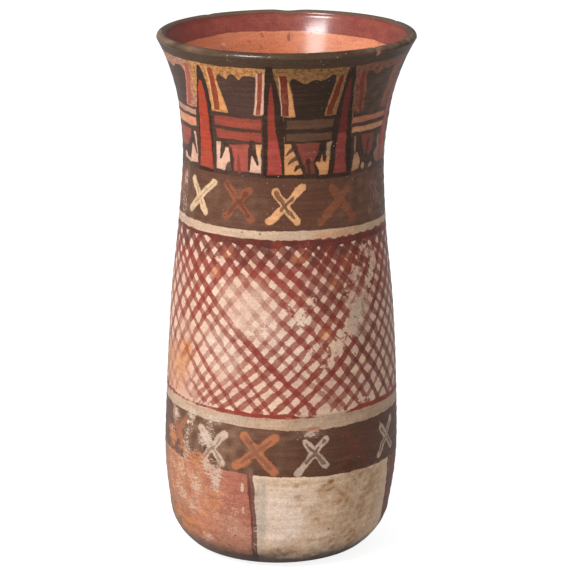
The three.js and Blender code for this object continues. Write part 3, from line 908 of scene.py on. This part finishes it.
def stainedGround(colour, theta, z):
    # orange, pink and green over the ground coats
    colour = tinted(colour, "orangeTan", spotted("oranged", theta, z) * patchy(theta, z, 0.75, 0.4, 5, 73))
    colour = tinted(colour, "pinkTan", spotted("pinked", theta, z))
    return tinted(colour, "greenGrey", spotted("greened", theta, z))


def wornDark(colour, theta, z):
    # the dark slip, rubbed along the lip, dusty on the bands and with a painted pale sheen on their left and right
    onTop = np.clip((z - lipHeight + lipWear["below"]) / lipWear["fade"], 0, 1)
    sides = np.clip(np.abs(np.sin(np.radians(theta))) * lipWear["sides"] - lipWear["front"], 0, 1)
    behind = lipWear["behind"] * np.exp(-(nearAngle(theta, 180) / lipWear["behindWidth"]) ** 2)
    worn = np.maximum(lipWear["least"] + lipWear["most"] * sides, behind)
    worn *= patchy(theta, z, 0.7, 0.3, 13, 41) + 0.2 * drift(theta, z, 4, 42)
    colour = tinted(colour, "lipWorn", onTop * worn)
    # pale brown film: dust, with a painted sheen on the left and right of the bands
    return tinted(colour, "dustAndSheenBrown", spotted("filmAndSheen", theta, z) * patchy(theta, z, 0.8, 0.5, 5, 43))


def agedLattice(colour, load, theta, z, onLattice):
    # lattice strokes: dark where thick and painted shade to the right, rusty in places, with more slip in them
    # higher up
    # darker maroon: thick strokes along the top, and painted shade to the right of the front
    colour = tinted(colour, "latticeDark", spotted("thickAndShaded", theta, z) * onLattice)
    colour = tinted(colour, "latticeRust", spotted("rust", theta, z) * onLattice)
    full = brushWork["fullLoad"] * np.clip((z - brushWork["fullFrom"]) / brushWork["fullOver"], 0, 1)
    return colour, np.maximum(load, full * onLattice)


def paintOutside(theta, z):
    # paint layers of the outside as {attribute: values}
    around, upwards = (patchy(theta, z, 0, *brushWork[way]) for way in ("around", "upwards"))
    scale = np.radians(1) * np.maximum(outerRadius(z), 20)
    onLattice = between(z, *zones["lattice"])
    found = dict(underColour=creamUnder(theta, z, onLattice))
    for layer, default in dict(ground="cream", dark="darkSlip", fill="rose", mark="shadow").items():
        distance, colour, load = paintLayer(shapes[layer], theta + around, z + upwards, scale, default)
        if layer == "ground":
            colour = stainedGround(colour, theta, z)
        elif layer == "dark":
            colour = wornDark(colour, theta, z)
        else:
            colour, load = agedLattice(colour, load, theta, z, onLattice)
        if layer == "mark":
            crossing = np.clip(found["fillDistance"] / brushWork["crossingEdge"] + 0.5, 0, 1) * onLattice
            colour = colour * (1 - brushWork["crossingShade"] * crossing)[:, None]
        found[layer + "Distance"], found[layer + "Colour"], found[layer + "Load"] = distance, colour, load
    return found


def paintInside(theta, z):
    # the lip's dark slip ends just inside, a maroon band follows, and the clay is bare below, painted lighter and
    # pinker towards the right and darker towards the left as light and shade
    turn = np.radians(theta)
    lipEdge, bandEdge = (
        vaseTop - insidePaint[edge + "Depth"]
        + sum(size * np.sin(turn * count + phase) for count, size, phase in insidePaint[edge + "Waves"])
        for edge in ("lip", "band"))
    # painted light and shade inside: the clay is lighter and pinker to the right and darker to the left
    clay = tinted(plain("innerClay", z), "litInnerPink", 0.5 + 0.45 * np.sin(turn) + 0.3 * drift(theta, z, 40, 61))
    ones = np.ones(len(z))
    found = dict(underColour=clay, groundDistance=-reachOfPaint * ones, darkDistance=z - lipEdge,
                 fillDistance=np.minimum(z - bandEdge, lipEdge + insidePaint["lipOverBand"] - z))
    for layer, colour in dict(ground="cream", dark="lipSlip", fill="maroon").items():
        found[layer + "Colour"] = plain(colour, z)
        found[layer + "Load"] = ones
    worn = insidePaint["wornEdge"] * np.clip((z - lipEdge + 0.2) / 0.8, 0, 1)
    found["darkColour"] = tinted(found["darkColour"], "lipWorn", worn)
    scale = np.radians(1) * np.maximum(innerRadius(z), 15)
    marked = paintLayer(insidePaint["marks"], theta, z, scale, "brown")
    found["markDistance"], found["markColour"], found["markLoad"] = marked
    return found


def paintCourse(mesh, rest):
    # rest holds the vertices in mm before the hand work and the lean
    radius = np.hypot(rest[:, 0], rest[:, 1])
    theta = turnAngle(rest[:, 0], rest[:, 1])
    z = rest[:, 2]
    isInside = (radius < (outerRadius(z) + innerRadius(z)) / 2) & (z > 0.5)
    outside = ~isInside
    values = {}
    for here, paint in ((outside, paintOutside), (isInside, paintInside)):
        for name, found in paint(theta[here], z[here]).items():
            values.setdefault(name, np.zeros((len(z), *found.shape[1:])))[here] = found
    underside = (z < 0.2) * np.clip(outerRadius(0) - radius, 0, 2) / 2  # bare from 2 mm inside its edge
    onFigures = outside & (z > zones["figuresLow"])
    onFoot = outside & (z < zones["footHigh"])
    onRed = onFoot & np.any([between(theta, *span) for span in zones["redPanels"]], axis=0)
    onLines = np.any([np.abs(z - middle) < half for middle, half in zones["smoothLines"]], axis=0)
    mottle, gloss, brushed, grimeAndShade = (wallLooks[name] for name in ("mottle", "gloss", "brushed", "grimeAndShade"))
    values["mottle"] = (mottle["all"] + mottle["figures"] * onFigures + mottle["cream"] * (onFoot & ~onRed)
                        + mottle["red"] * onRed + mottle["inside"] * isInside)
    inGloss = np.clip((z - vaseTop + gloss["maroonDepth"]) / gloss["fade"], gloss["clay"], 1)
    lipGloss = gloss["lip"] * np.clip((z - gloss["lipFrom"]) / gloss["lipFade"], 0, 1)
    values["gloss"] = np.maximum(inGloss * isInside * (z > gloss["clayFrom"]), lipGloss)
    values["brushed"] = np.where(onFigures | onLines | isInside, brushed["smooth"], brushed["rough"])
    # dirt and painted shade along the foot of the outside, darker towards the bottom, less on the underside
    low = np.clip((grimeAndShade["height"] - z) / grimeAndShade["fade"], 0, grimeAndShade["most"])
    values["grimeAndShade"] = low * outside * (1 - grimeAndShade["underneath"] * underside)
    for name in ("wear", "pale", "missing", "faded", "stainAndShade"):
        values[name] = spotted(name, theta, z) * outside
    values["wear"] = np.maximum(values["wear"], underside)
    for name, found in values.items():
        setAttribute(mesh, name, found)


# shader nodes
def addNode(tree, kind, inputs=None, **settings):
    node = tree.nodes.new(kind)
    for name, value in settings.items():
        setattr(node, name, value)
    for name, value in (inputs or {}).items():
        if isinstance(value, bpy.types.NodeSocket):
            tree.links.new(value, node.inputs[name])
        else:
            node.inputs[name].default_value = value
    return node


def calc(tree, operation, a, b=0.0, c=0.0, clamp=False):
    return addNode(tree, "ShaderNodeMath", {0: a, 1: b, 2: c}, operation=operation, use_clamp=clamp).outputs[0]


def ramp(tree, value, low, high, toLow=0.0, toHigh=1.0):
    inputs = {"Value": value, "From Min": low, "From Max": high, "To Min": toLow, "To Max": toHigh}
    return addNode(tree, "ShaderNodeMapRange", inputs, interpolation_type="SMOOTHSTEP").outputs[0]


def blend(tree, factor, a, b, mode="MIX"):
    node = addNode(tree, "ShaderNodeMix", {0: factor, 6: a, 7: b}, data_type="RGBA", blend_type=mode)
    return node.outputs[2]


def times(tree, vector, factors):
    # each part of a vector or colour by its own factor
    return addNode(tree, "ShaderNodeVectorMath", {0: vector, 1: factors}, operation="MULTIPLY").outputs[0]


def scaled(tree, vector, factor):
    return addNode(tree, "ShaderNodeVectorMath", {0: vector, "Scale": factor}, operation="SCALE").outputs[0]


def noise(tree, place, scale, detail, rough, stretch=None):
    if stretch:
        place = times(tree, place, stretch)
    inputs = {"Vector": place, "Scale": scale, "Detail": detail, "Roughness": rough}
    return addNode(tree, "ShaderNodeTexNoise", inputs).outputs[0]


def attribute(tree, name, output="Fac"):
    return addNode(tree, "ShaderNodeAttribute", attribute_name=name).outputs[output]


def rgba(colour):
    return (*linear(colour), 1)


def over(tree, colour, name, mask, share):
    # a named colour over another, by a mask and how much of it shows there
    return blend(tree, calc(tree, "MULTIPLY", mask, share), colour, rgba(name))


def summed(tree, total, parts):
    # a value and each mask times its share
    for mask, share in parts:
        total = calc(tree, "MULTIPLY_ADD", mask, share, total)
    return total


def newGroup(name, inputs, outputs):
    tree = bpy.data.node_groups.new(name, "ShaderNodeTree")
    for label, (kind, value) in inputs.items():
        socket = tree.interface.new_socket(label, in_out="INPUT", socket_type="NodeSocket" + kind)
        if value is not None:
            socket.default_value = value
    for label, kind in outputs.items():
        tree.interface.new_socket(label, in_out="OUTPUT", socket_type="NodeSocket" + kind)
    return tree, tree.nodes.new("NodeGroupInput").outputs, tree.nodes.new("NodeGroupOutput").inputs


def placeGroup(tree, group, inputs):
    return addNode(tree, "ShaderNodeGroup", inputs, node_tree=group).outputs


def spottedCells(tree, place, scale, share, size, soft=0.05, absent=-0.08):
    # small round grains with a soft edge: only this share of the cells holds one, of up to this size
    cells = addNode(tree, "ShaderNodeTexVoronoi", {"Vector": place, "Scale": scale, "Randomness": 1.0})
    pick = addNode(tree, "ShaderNodeSeparateColor", {0: cells.outputs["Color"]}).outputs[0]
    reach = ramp(tree, pick, 1 - share, 1.0, absent, size)
    return ramp(tree, calc(tree, "SUBTRACT", reach, cells.outputs["Distance"]), -soft, soft)


# what the clay and its slip show close by, per mm: noises as (scale, detail, roughness, stretch), the ramps that
# sharpen some of them, and grains as (scale, share of the cells that hold one, size)
clayGrain = dict(
    noises=dict(Grain=(1.9, 3.0, 0.6), Streak=(1.0, 3.0, 0.5, (0.10, 0.10, 1.1)), Blotch=(0.07, 3.0, 0.55)),
    sharpened=dict(Mottle=((0.55, 5.0, 0.68), (0.48, 0.70)), Speckle=((0.80, 6.0, 0.9), (0.50, 0.55))),
    grains=dict(Temper=(0.7, 0.35, 0.16), Pit=(0.33, 0.28, 0.16)),
    flecks=(1.05, 0.3, 0.22), fleckedWhere=((0.11, 3.0, 0.6), (0.46, 0.66)),
    raggedCoarse=(0.30, 2.0, 0.5), raggedFine=(1.5, 3.0, 0.6), fineShare=0.6,
)


def clayGrainGroup(grain):
    # fine grain, burnishing streaks round the vase, grains of temper, pits and flecks; places are in mm
    names = [*grain["noises"], *grain["sharpened"], *grain["grains"], "Fleck", "Ragged"]
    tree, given, out = newGroup("clayGrain", {"Place": ("Vector", None)}, dict.fromkeys(names, "Float"))
    place = given["Place"]
    for name, settings in grain["noises"].items():
        tree.links.new(noise(tree, place, *settings), out[name])
    for name, (settings, span) in grain["sharpened"].items():
        tree.links.new(ramp(tree, noise(tree, place, *settings), *span), out[name])
    for name, settings in grain["grains"].items():
        tree.links.new(spottedCells(tree, place, *settings), out[name])
    settings, span = grain["fleckedWhere"]
    flecked = ramp(tree, noise(tree, place, *settings), *span)
    tree.links.new(calc(tree, "MULTIPLY", spottedCells(tree, place, *grain["flecks"]), flecked), out["Fleck"])
    coarse, fine = (calc(tree, "SUBTRACT", noise(tree, place, *grain[name]), 0.5)
                    for name in ("raggedCoarse", "raggedFine"))
    tree.links.new(calc(tree, "MULTIPLY_ADD", fine, grain["fineShare"], coarse), out["Ragged"])
    return tree


# a coat of slip: half width of its soft edge and width of its dark rim in mm, and how it flakes and thins
coatLooks = dict(edge=0.16, rim=0.7, rimShade=0.88, losing=1.15, flakes=(-0.09, 0.03), fading=0.75,
                 thinSpan=(0.35, 0.75), thinning=0.22)


def paintCoatGroup(looks):
    # lays a coat of slip over what is under it: uneven edge, darker rim, thin where rubbed, gaps where flaked
    tree, given, out = newGroup(
        "paintCoat",
        {"Under": ("Color", (1, 1, 1, 1)), "Coat": ("Color", (1, 1, 1, 1)), "Distance": ("Float", 0.0),
         "Load": ("Float", 1.0), "Ragged": ("Float", 0.0), "Roughen": ("Float", 0.5), "Missing": ("Float", 0.0),
         "Faded": ("Float", 0.0), "Flakes": ("Float", 0.5), "Thin": ("Float", 0.5)},
        {"Color": "Color", "Mask": "Float"})
    edge = calc(tree, "MULTIPLY_ADD", given["Ragged"], given["Roughen"], given["Distance"])
    covered = ramp(tree, edge, -looks["edge"], looks["edge"])
    lost = calc(tree, "SUBTRACT", calc(tree, "MULTIPLY", given["Missing"], looks["losing"]), given["Flakes"])
    kept = calc(tree, "SUBTRACT", 1.0, ramp(tree, lost, *looks["flakes"]))
    thin = calc(tree, "SUBTRACT", given["Load"], calc(tree, "MULTIPLY", given["Faded"], looks["fading"]))
    thinned = ramp(tree, given["Thin"], *looks["thinSpan"], 0.0, looks["thinning"])
    thin = calc(tree, "SUBTRACT", thin, thinned, clamp=True)
    mask = calc(tree, "MULTIPLY", calc(tree, "MULTIPLY", covered, kept), thin)
    rim = ramp(tree, given["Distance"], 0.0, looks["rim"], looks["rimShade"], 1.0)
    tree.links.new(blend(tree, mask, given["Under"], scaled(tree, given["Coat"], rim)), out["Color"])
    tree.links.new(mask, out["Mask"])
    return tree


# wear: big flakes and ones dragged along a slant, how they mix, and how sharply a patch ends
wornLooks = dict(big=(6.0, 0.70), drag=(5.0, 0.66), slant=(0.0, 0.6, 0.0), stretch=(0.45, 0.45, 1.7),
                 bigShare=0.45, dragShare=0.55, amount=0.40, start=0.26, edge=(-0.06, 0.045))


def wornThroughGroup(looks):
    # where the surface has gone: patches broken up by flakes of several sizes, dragged along a slant
    tree, given, out = newGroup("wornThrough", {"Place": ("Vector", None), "Amount": ("Float", 0.0),
                                                "Scale": ("Float", 0.35)}, {"Mask": "Float"})
    big = noise(tree, given["Place"], given["Scale"], *looks["big"])
    slant = addNode(tree, "ShaderNodeMapping", {"Vector": given["Place"], "Rotation": looks["slant"],
                                                "Scale": looks["stretch"]}).outputs[0]
    drag = noise(tree, slant, given["Scale"], *looks["drag"])
    mixed = calc(tree, "MULTIPLY_ADD", drag, looks["dragShare"], calc(tree, "MULTIPLY", big, looks["bigShare"]))
    reached = calc(tree, "MULTIPLY_ADD", given["Amount"], looks["amount"], looks["start"])
    tree.links.new(ramp(tree, calc(tree, "SUBTRACT", reached, mixed), *looks["edge"]), out["Mask"])
    return tree


# the finish of the whole vase: gloss and bump, each coat's edge, loss and fading, noises as (scale, detail,
# roughness), tints that colours are multiplied by, the brown one also painting warm shade, and how much of each
# kind of dirt and painted shade shows. Ramps are given as (from, to) and, where they don't run from 0 to 1,
# also (least, most)
clayFinish = dict(
    roughness=0.32, specular=0.22, coatRoughness=0.17, bumpDepth=0.25 * mm, bumpStrength=0.5,
    coats=dict(ground=(0.9, 0.0, 0.0), dark=(0.9, 0.8, 0.15), fill=(1.4, 1.0, 1.0), mark=(1.4, 1.0, 1.0)),
    leastThin=0.3, flakes=(0.70, 7.0, 0.75), thin=(0.30, 5.0, 0.7),
    specks=dict(Mottle=((0.66, 0.52, 0.40), 0.75), Speckle=((0.46, 0.35, 0.26), 0.85)),
    tones=dict(Streak=(0.40, 0.80), Grain=(0.80, 0.60), Blotch=(0.40, 0.80)),
    patinaAndShade=(0.72, 0.57, 0.43), patinaAndShadeWhere=((0.24, 7.0, 0.75), (0.34, 0.68)),
    dust=(0.20, 0.42, 0.0, 0.06), fleck=0.70, temper=0.28, pit=0.6, crust=0.72, dirtAndShade=0.90,
    rosyClay=(0.35, 0.65), brownClay=(0.40, 0.75, 0.0, 0.45),
    dirtAndShadePatches=(0.3, 0.7, 1.15, 0.75), dirtAndShadeRagged=0.9, dirtAndShadeEdge=(0.0, 0.95),
    wearScale=0.40, crustScale=1.15, crustShift=(31.0, 17.0, 7.0),
    grainRough=0.14, bareRough=0.32, pitRough=0.3,
    grainHigh=0.30, streakHigh=0.5, pitHigh=-1.4, goneHigh=-0.45, crustHigh=0.4, coatHigh=0.10,
)


def laidCoats(tree, colour, place, grain, finish):
    # the four coats of slip over each other, the lowest one mottled; returns the colour and each coat's mask
    group = paintCoatGroup(coatLooks)
    flakes = noise(tree, place, *finish["flakes"])
    thin = noise(tree, place, *finish["thin"])
    masks = {}
    for layer, (roughen, losing, fading) in finish["coats"].items():
        laid = placeGroup(tree, group, {
            "Under": colour, "Coat": attribute(tree, layer + "Colour", "Vector"),
            "Distance": attribute(tree, layer + "Distance"), "Load": attribute(tree, layer + "Load"),
            "Ragged": grain["Ragged"], "Roughen": calc(tree, "MULTIPLY", attribute(tree, "brushed"), roughen),
            "Missing": calc(tree, "MULTIPLY", attribute(tree, "missing"), losing), "Flakes": flakes,
            "Faded": calc(tree, "MULTIPLY", attribute(tree, "faded"), fading),
            "Thin": calc(tree, "MULTIPLY", thin, max(fading, finish["leastThin"]))})
        colour, masks[layer] = laid["Color"], laid["Mask"]
        if layer == "ground":
            for name, (tint, share) in finish["specks"].items():
                spread = calc(tree, "MULTIPLY", grain[name], attribute(tree, "mottle"))
                colour = blend(tree, calc(tree, "MULTIPLY", spread, share), colour, times(tree, colour, tint))
    return colour, masks


def agedSlip(tree, colour, place, grain, dark, finish):
    # burnishing streaks and grain in the slip, brown stains with painted warm shade to the right, and pale dust
    # and flecks in the dark slip
    for name, (swing, least) in finish["tones"].items():
        colour = scaled(tree, colour, calc(tree, "MULTIPLY_ADD", grain[name], swing, least))
    # brown stains, which to the right of the front also paint warm shade
    settings, span = finish["patinaAndShadeWhere"]
    stainAndShade = calc(tree, "MULTIPLY", attribute(tree, "stainAndShade"), ramp(tree, noise(tree, place, *settings), *span))
    colour = blend(tree, stainAndShade, colour, times(tree, colour, finish["patinaAndShade"]))
    dust = ramp(tree, calc(tree, "MULTIPLY", grain["Streak"], grain["Grain"]), *finish["dust"])
    colour = over(tree, colour, "tan", dust, dark)
    colour = over(tree, colour, "greyCream", grain["Fleck"], calc(tree, "MULTIPLY", dark, finish["fleck"]))
    return over(tree, colour, "brown", grain["Temper"], finish["temper"])


def bareClay(tree, grain, finish):
    clay = blend(tree, ramp(tree, grain["Blotch"], *finish["rosyClay"]), rgba("clay"), rgba("roseClay"))
    return blend(tree, ramp(tree, grain["Grain"], *finish["brownClay"]), clay, rgba("brown"))


def footDirtAndShade(tree, grain, finish):
    # dirt and painted shade along the foot, darker towards the bottom, patchy and with a ragged edge
    patches = ramp(tree, grain["Blotch"], *finish["dirtAndShadePatches"])
    dirtAndShade = calc(tree, "MULTIPLY", attribute(tree, "grimeAndShade"), patches)
    dirtAndShade = calc(tree, "MULTIPLY_ADD", grain["Ragged"], finish["dirtAndShadeRagged"], dirtAndShade)
    return ramp(tree, dirtAndShade, *finish["dirtAndShadeEdge"])


def paintedClayMaterial(finish):
    material = bpy.data.materials.new("paintedClay")
    material.use_nodes = True
    tree = material.node_tree
    shader = tree.nodes["Principled BSDF"]
    place = scaled(tree, addNode(tree, "ShaderNodeTexCoord").outputs["Object"], 1 / mm)
    grain = placeGroup(tree, clayGrainGroup(clayGrain), {"Place": place})
    colour, masks = laidCoats(tree, attribute(tree, "underColour", "Vector"), place, grain, finish)
    colour = agedSlip(tree, colour, place, grain, masks["dark"], finish)

    # clay where the slip has gone, pale crust, pits, and the dirt and painted shade along the foot
    worn = wornThroughGroup(wornLooks)
    gone = placeGroup(tree, worn, {"Place": place, "Amount": attribute(tree, "wear"),
                                   "Scale": finish["wearScale"]})["Mask"]
    shifted = addNode(tree, "ShaderNodeVectorMath", {0: place, 1: finish["crustShift"]}, operation="ADD")
    crust = placeGroup(tree, worn, {"Place": shifted.outputs[0], "Amount": attribute(tree, "pale"),
                                    "Scale": finish["crustScale"]})["Mask"]
    colour = blend(tree, gone, colour, bareClay(tree, grain, finish))
    colour = over(tree, colour, "crust", crust, finish["crust"])
    colour = over(tree, colour, "brown", grain["Pit"], finish["pit"])
    colour = over(tree, colour, "footDirtAndShade", footDirtAndShade(tree, grain, finish), finish["dirtAndShade"])

    lessGrain = finish["roughness"] - finish["grainRough"] / 2
    rough = summed(tree, lessGrain, [(grain["Grain"], finish["grainRough"]), (grain["Pit"], finish["pitRough"]),
                                     (calc(tree, "MAXIMUM", gone, crust), finish["bareRough"])])
    height = summed(tree, 0.0, [(grain["Grain"], finish["grainHigh"]), (grain["Streak"], finish["streakHigh"]),
                                (grain["Pit"], finish["pitHigh"]), (gone, finish["goneHigh"]),
                                (crust, finish["crustHigh"])])
    height = summed(tree, height, [(mask, finish["coatHigh"]) for mask in masks.values()])
    bump = addNode(tree, "ShaderNodeBump", {"Height": height, "Strength": finish["bumpStrength"],
                                            "Distance": finish["bumpDepth"]})
    tree.links.new(colour, shader.inputs["Base Color"])
    tree.links.new(calc(tree, "MINIMUM", rough, 1.0), shader.inputs["Roughness"])
    tree.links.new(bump.outputs[0], shader.inputs["Normal"])
    tree.links.new(attribute(tree, "gloss"), shader.inputs["Coat Weight"])
    shader.inputs["Coat Roughness"].default_value = finish["coatRoughness"]
    shader.inputs["Specular IOR Level"].default_value = finish["specular"]
    return material


paintedClay = paintedClayMaterial(clayFinish)
print("material made")


def makeCourse(name):
    section, runs = courseSection(name)
    mesh = spinCourse(name, section)
    rest = np.zeros(len(mesh.vertices) * 3)
    mesh.vertices.foreach_get("co", rest)
    rest = rest.reshape(-1, 3) / mm
    layFlat(mesh, rest, section, runs)
    paintCourse(mesh, rest)
    mesh.vertices.foreach_set("co", (shapeByHand(rest) * mm).ravel())
    mesh.update()
    mesh.materials.append(paintedClay)
    piece = bpy.data.objects.new("painted_" + name, mesh)
    bpy.context.scene.collection.objects.link(piece)
    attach(piece, "root")
    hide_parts(name)
    return piece


pieces = [makeCourse(name) for name in courses]
print("courses made:", sum(len(p.data.vertices) for p in pieces), "vertices")


# floor, world and soft light: a wide softbox low on the left, a smaller one above it that alone is mirrored in
# the gloss, and a little from the right
stageLight = dict(
    softbox=dict(where=(-1.35, -0.78, 0.45), size=1.0, power=10.2, reflected=False),
    lamp=dict(where=(-0.66, -0.84, 1.04), size=0.42, power=12.2, reflected=True),
    fill=dict(where=(1.3, -0.9, 0.5), size=0.9, power=2.4, reflected=False),
    aim=(0, 0, 0.10), ambient=0.42, mirrored=0.10,
    floorSize=6, floorRoughness=0.9, floorColour=0.45, floorGlow=0.86,
)


def makeLight(name, aim, where, size, power, reflected):
    data = bpy.data.lights.new(name, "AREA")
    data.size = size
    data.energy = power
    light = bpy.data.objects.new(name, data)
    light.visible_glossy = reflected
    light.location = where
    light.rotation_euler = (Vector(aim) - Vector(where)).to_track_quat("-Z", "Y").to_euler()
    bpy.context.scene.collection.objects.link(light)


def seenShare(tree, mirrored):
    # how much of the white background a ray sees: all of it straight or through glass, less as a reflection
    path = addNode(tree, "ShaderNodeLightPath").outputs
    seen = calc(tree, "MAXIMUM", path["Is Camera Ray"], path["Is Transmission Ray"])
    return calc(tree, "MAXIMUM", seen, calc(tree, "MULTIPLY", path["Is Glossy Ray"], mirrored))


def makeStage(light):
    for name in ("softbox", "lamp", "fill"):
        makeLight(name, light["aim"], **light[name])
    world = bpy.data.worlds.new("studio")
    bpy.context.scene.world = world
    world.use_nodes = True
    tree = world.node_tree
    background = tree.nodes["Background"]
    background.inputs["Color"].default_value = (1, 1, 1, 1)
    scattered = addNode(tree, "ShaderNodeLightPath").outputs["Is Diffuse Ray"]
    strength = calc(tree, "MULTIPLY_ADD", scattered, light["ambient"], seenShare(tree, light["mirrored"]))
    tree.links.new(strength, background.inputs["Strength"])

    material = bpy.data.materials.new("paleFloor")
    material.use_nodes = True
    tree = material.node_tree
    shader = tree.nodes["Principled BSDF"]
    shade = light["floorColour"]
    shader.inputs["Base Color"].default_value = (shade, shade, shade, 1)
    shader.inputs["Roughness"].default_value = light["floorRoughness"]
    shader.inputs["Emission Color"].default_value = (1, 1, 1, 1)
    glow = calc(tree, "MULTIPLY", seenShare(tree, light["mirrored"]), light["floorGlow"])
    tree.links.new(glow, shader.inputs["Emission Strength"])
    bm = bmesh.new()
    bmesh.ops.create_grid(bm, x_segments=2, y_segments=2, size=light["floorSize"])
    mesh = bpy.data.meshes.new("floor")
    bm.to_mesh(mesh)
    bm.free()
    mesh.materials.append(material)
    floor = bpy.data.objects.new("floor", mesh)
    bpy.context.scene.collection.objects.link(floor)
    bpy.context.scene.view_settings.view_transform = "Standard"


makeStage(stageLight)
print("stage lit")
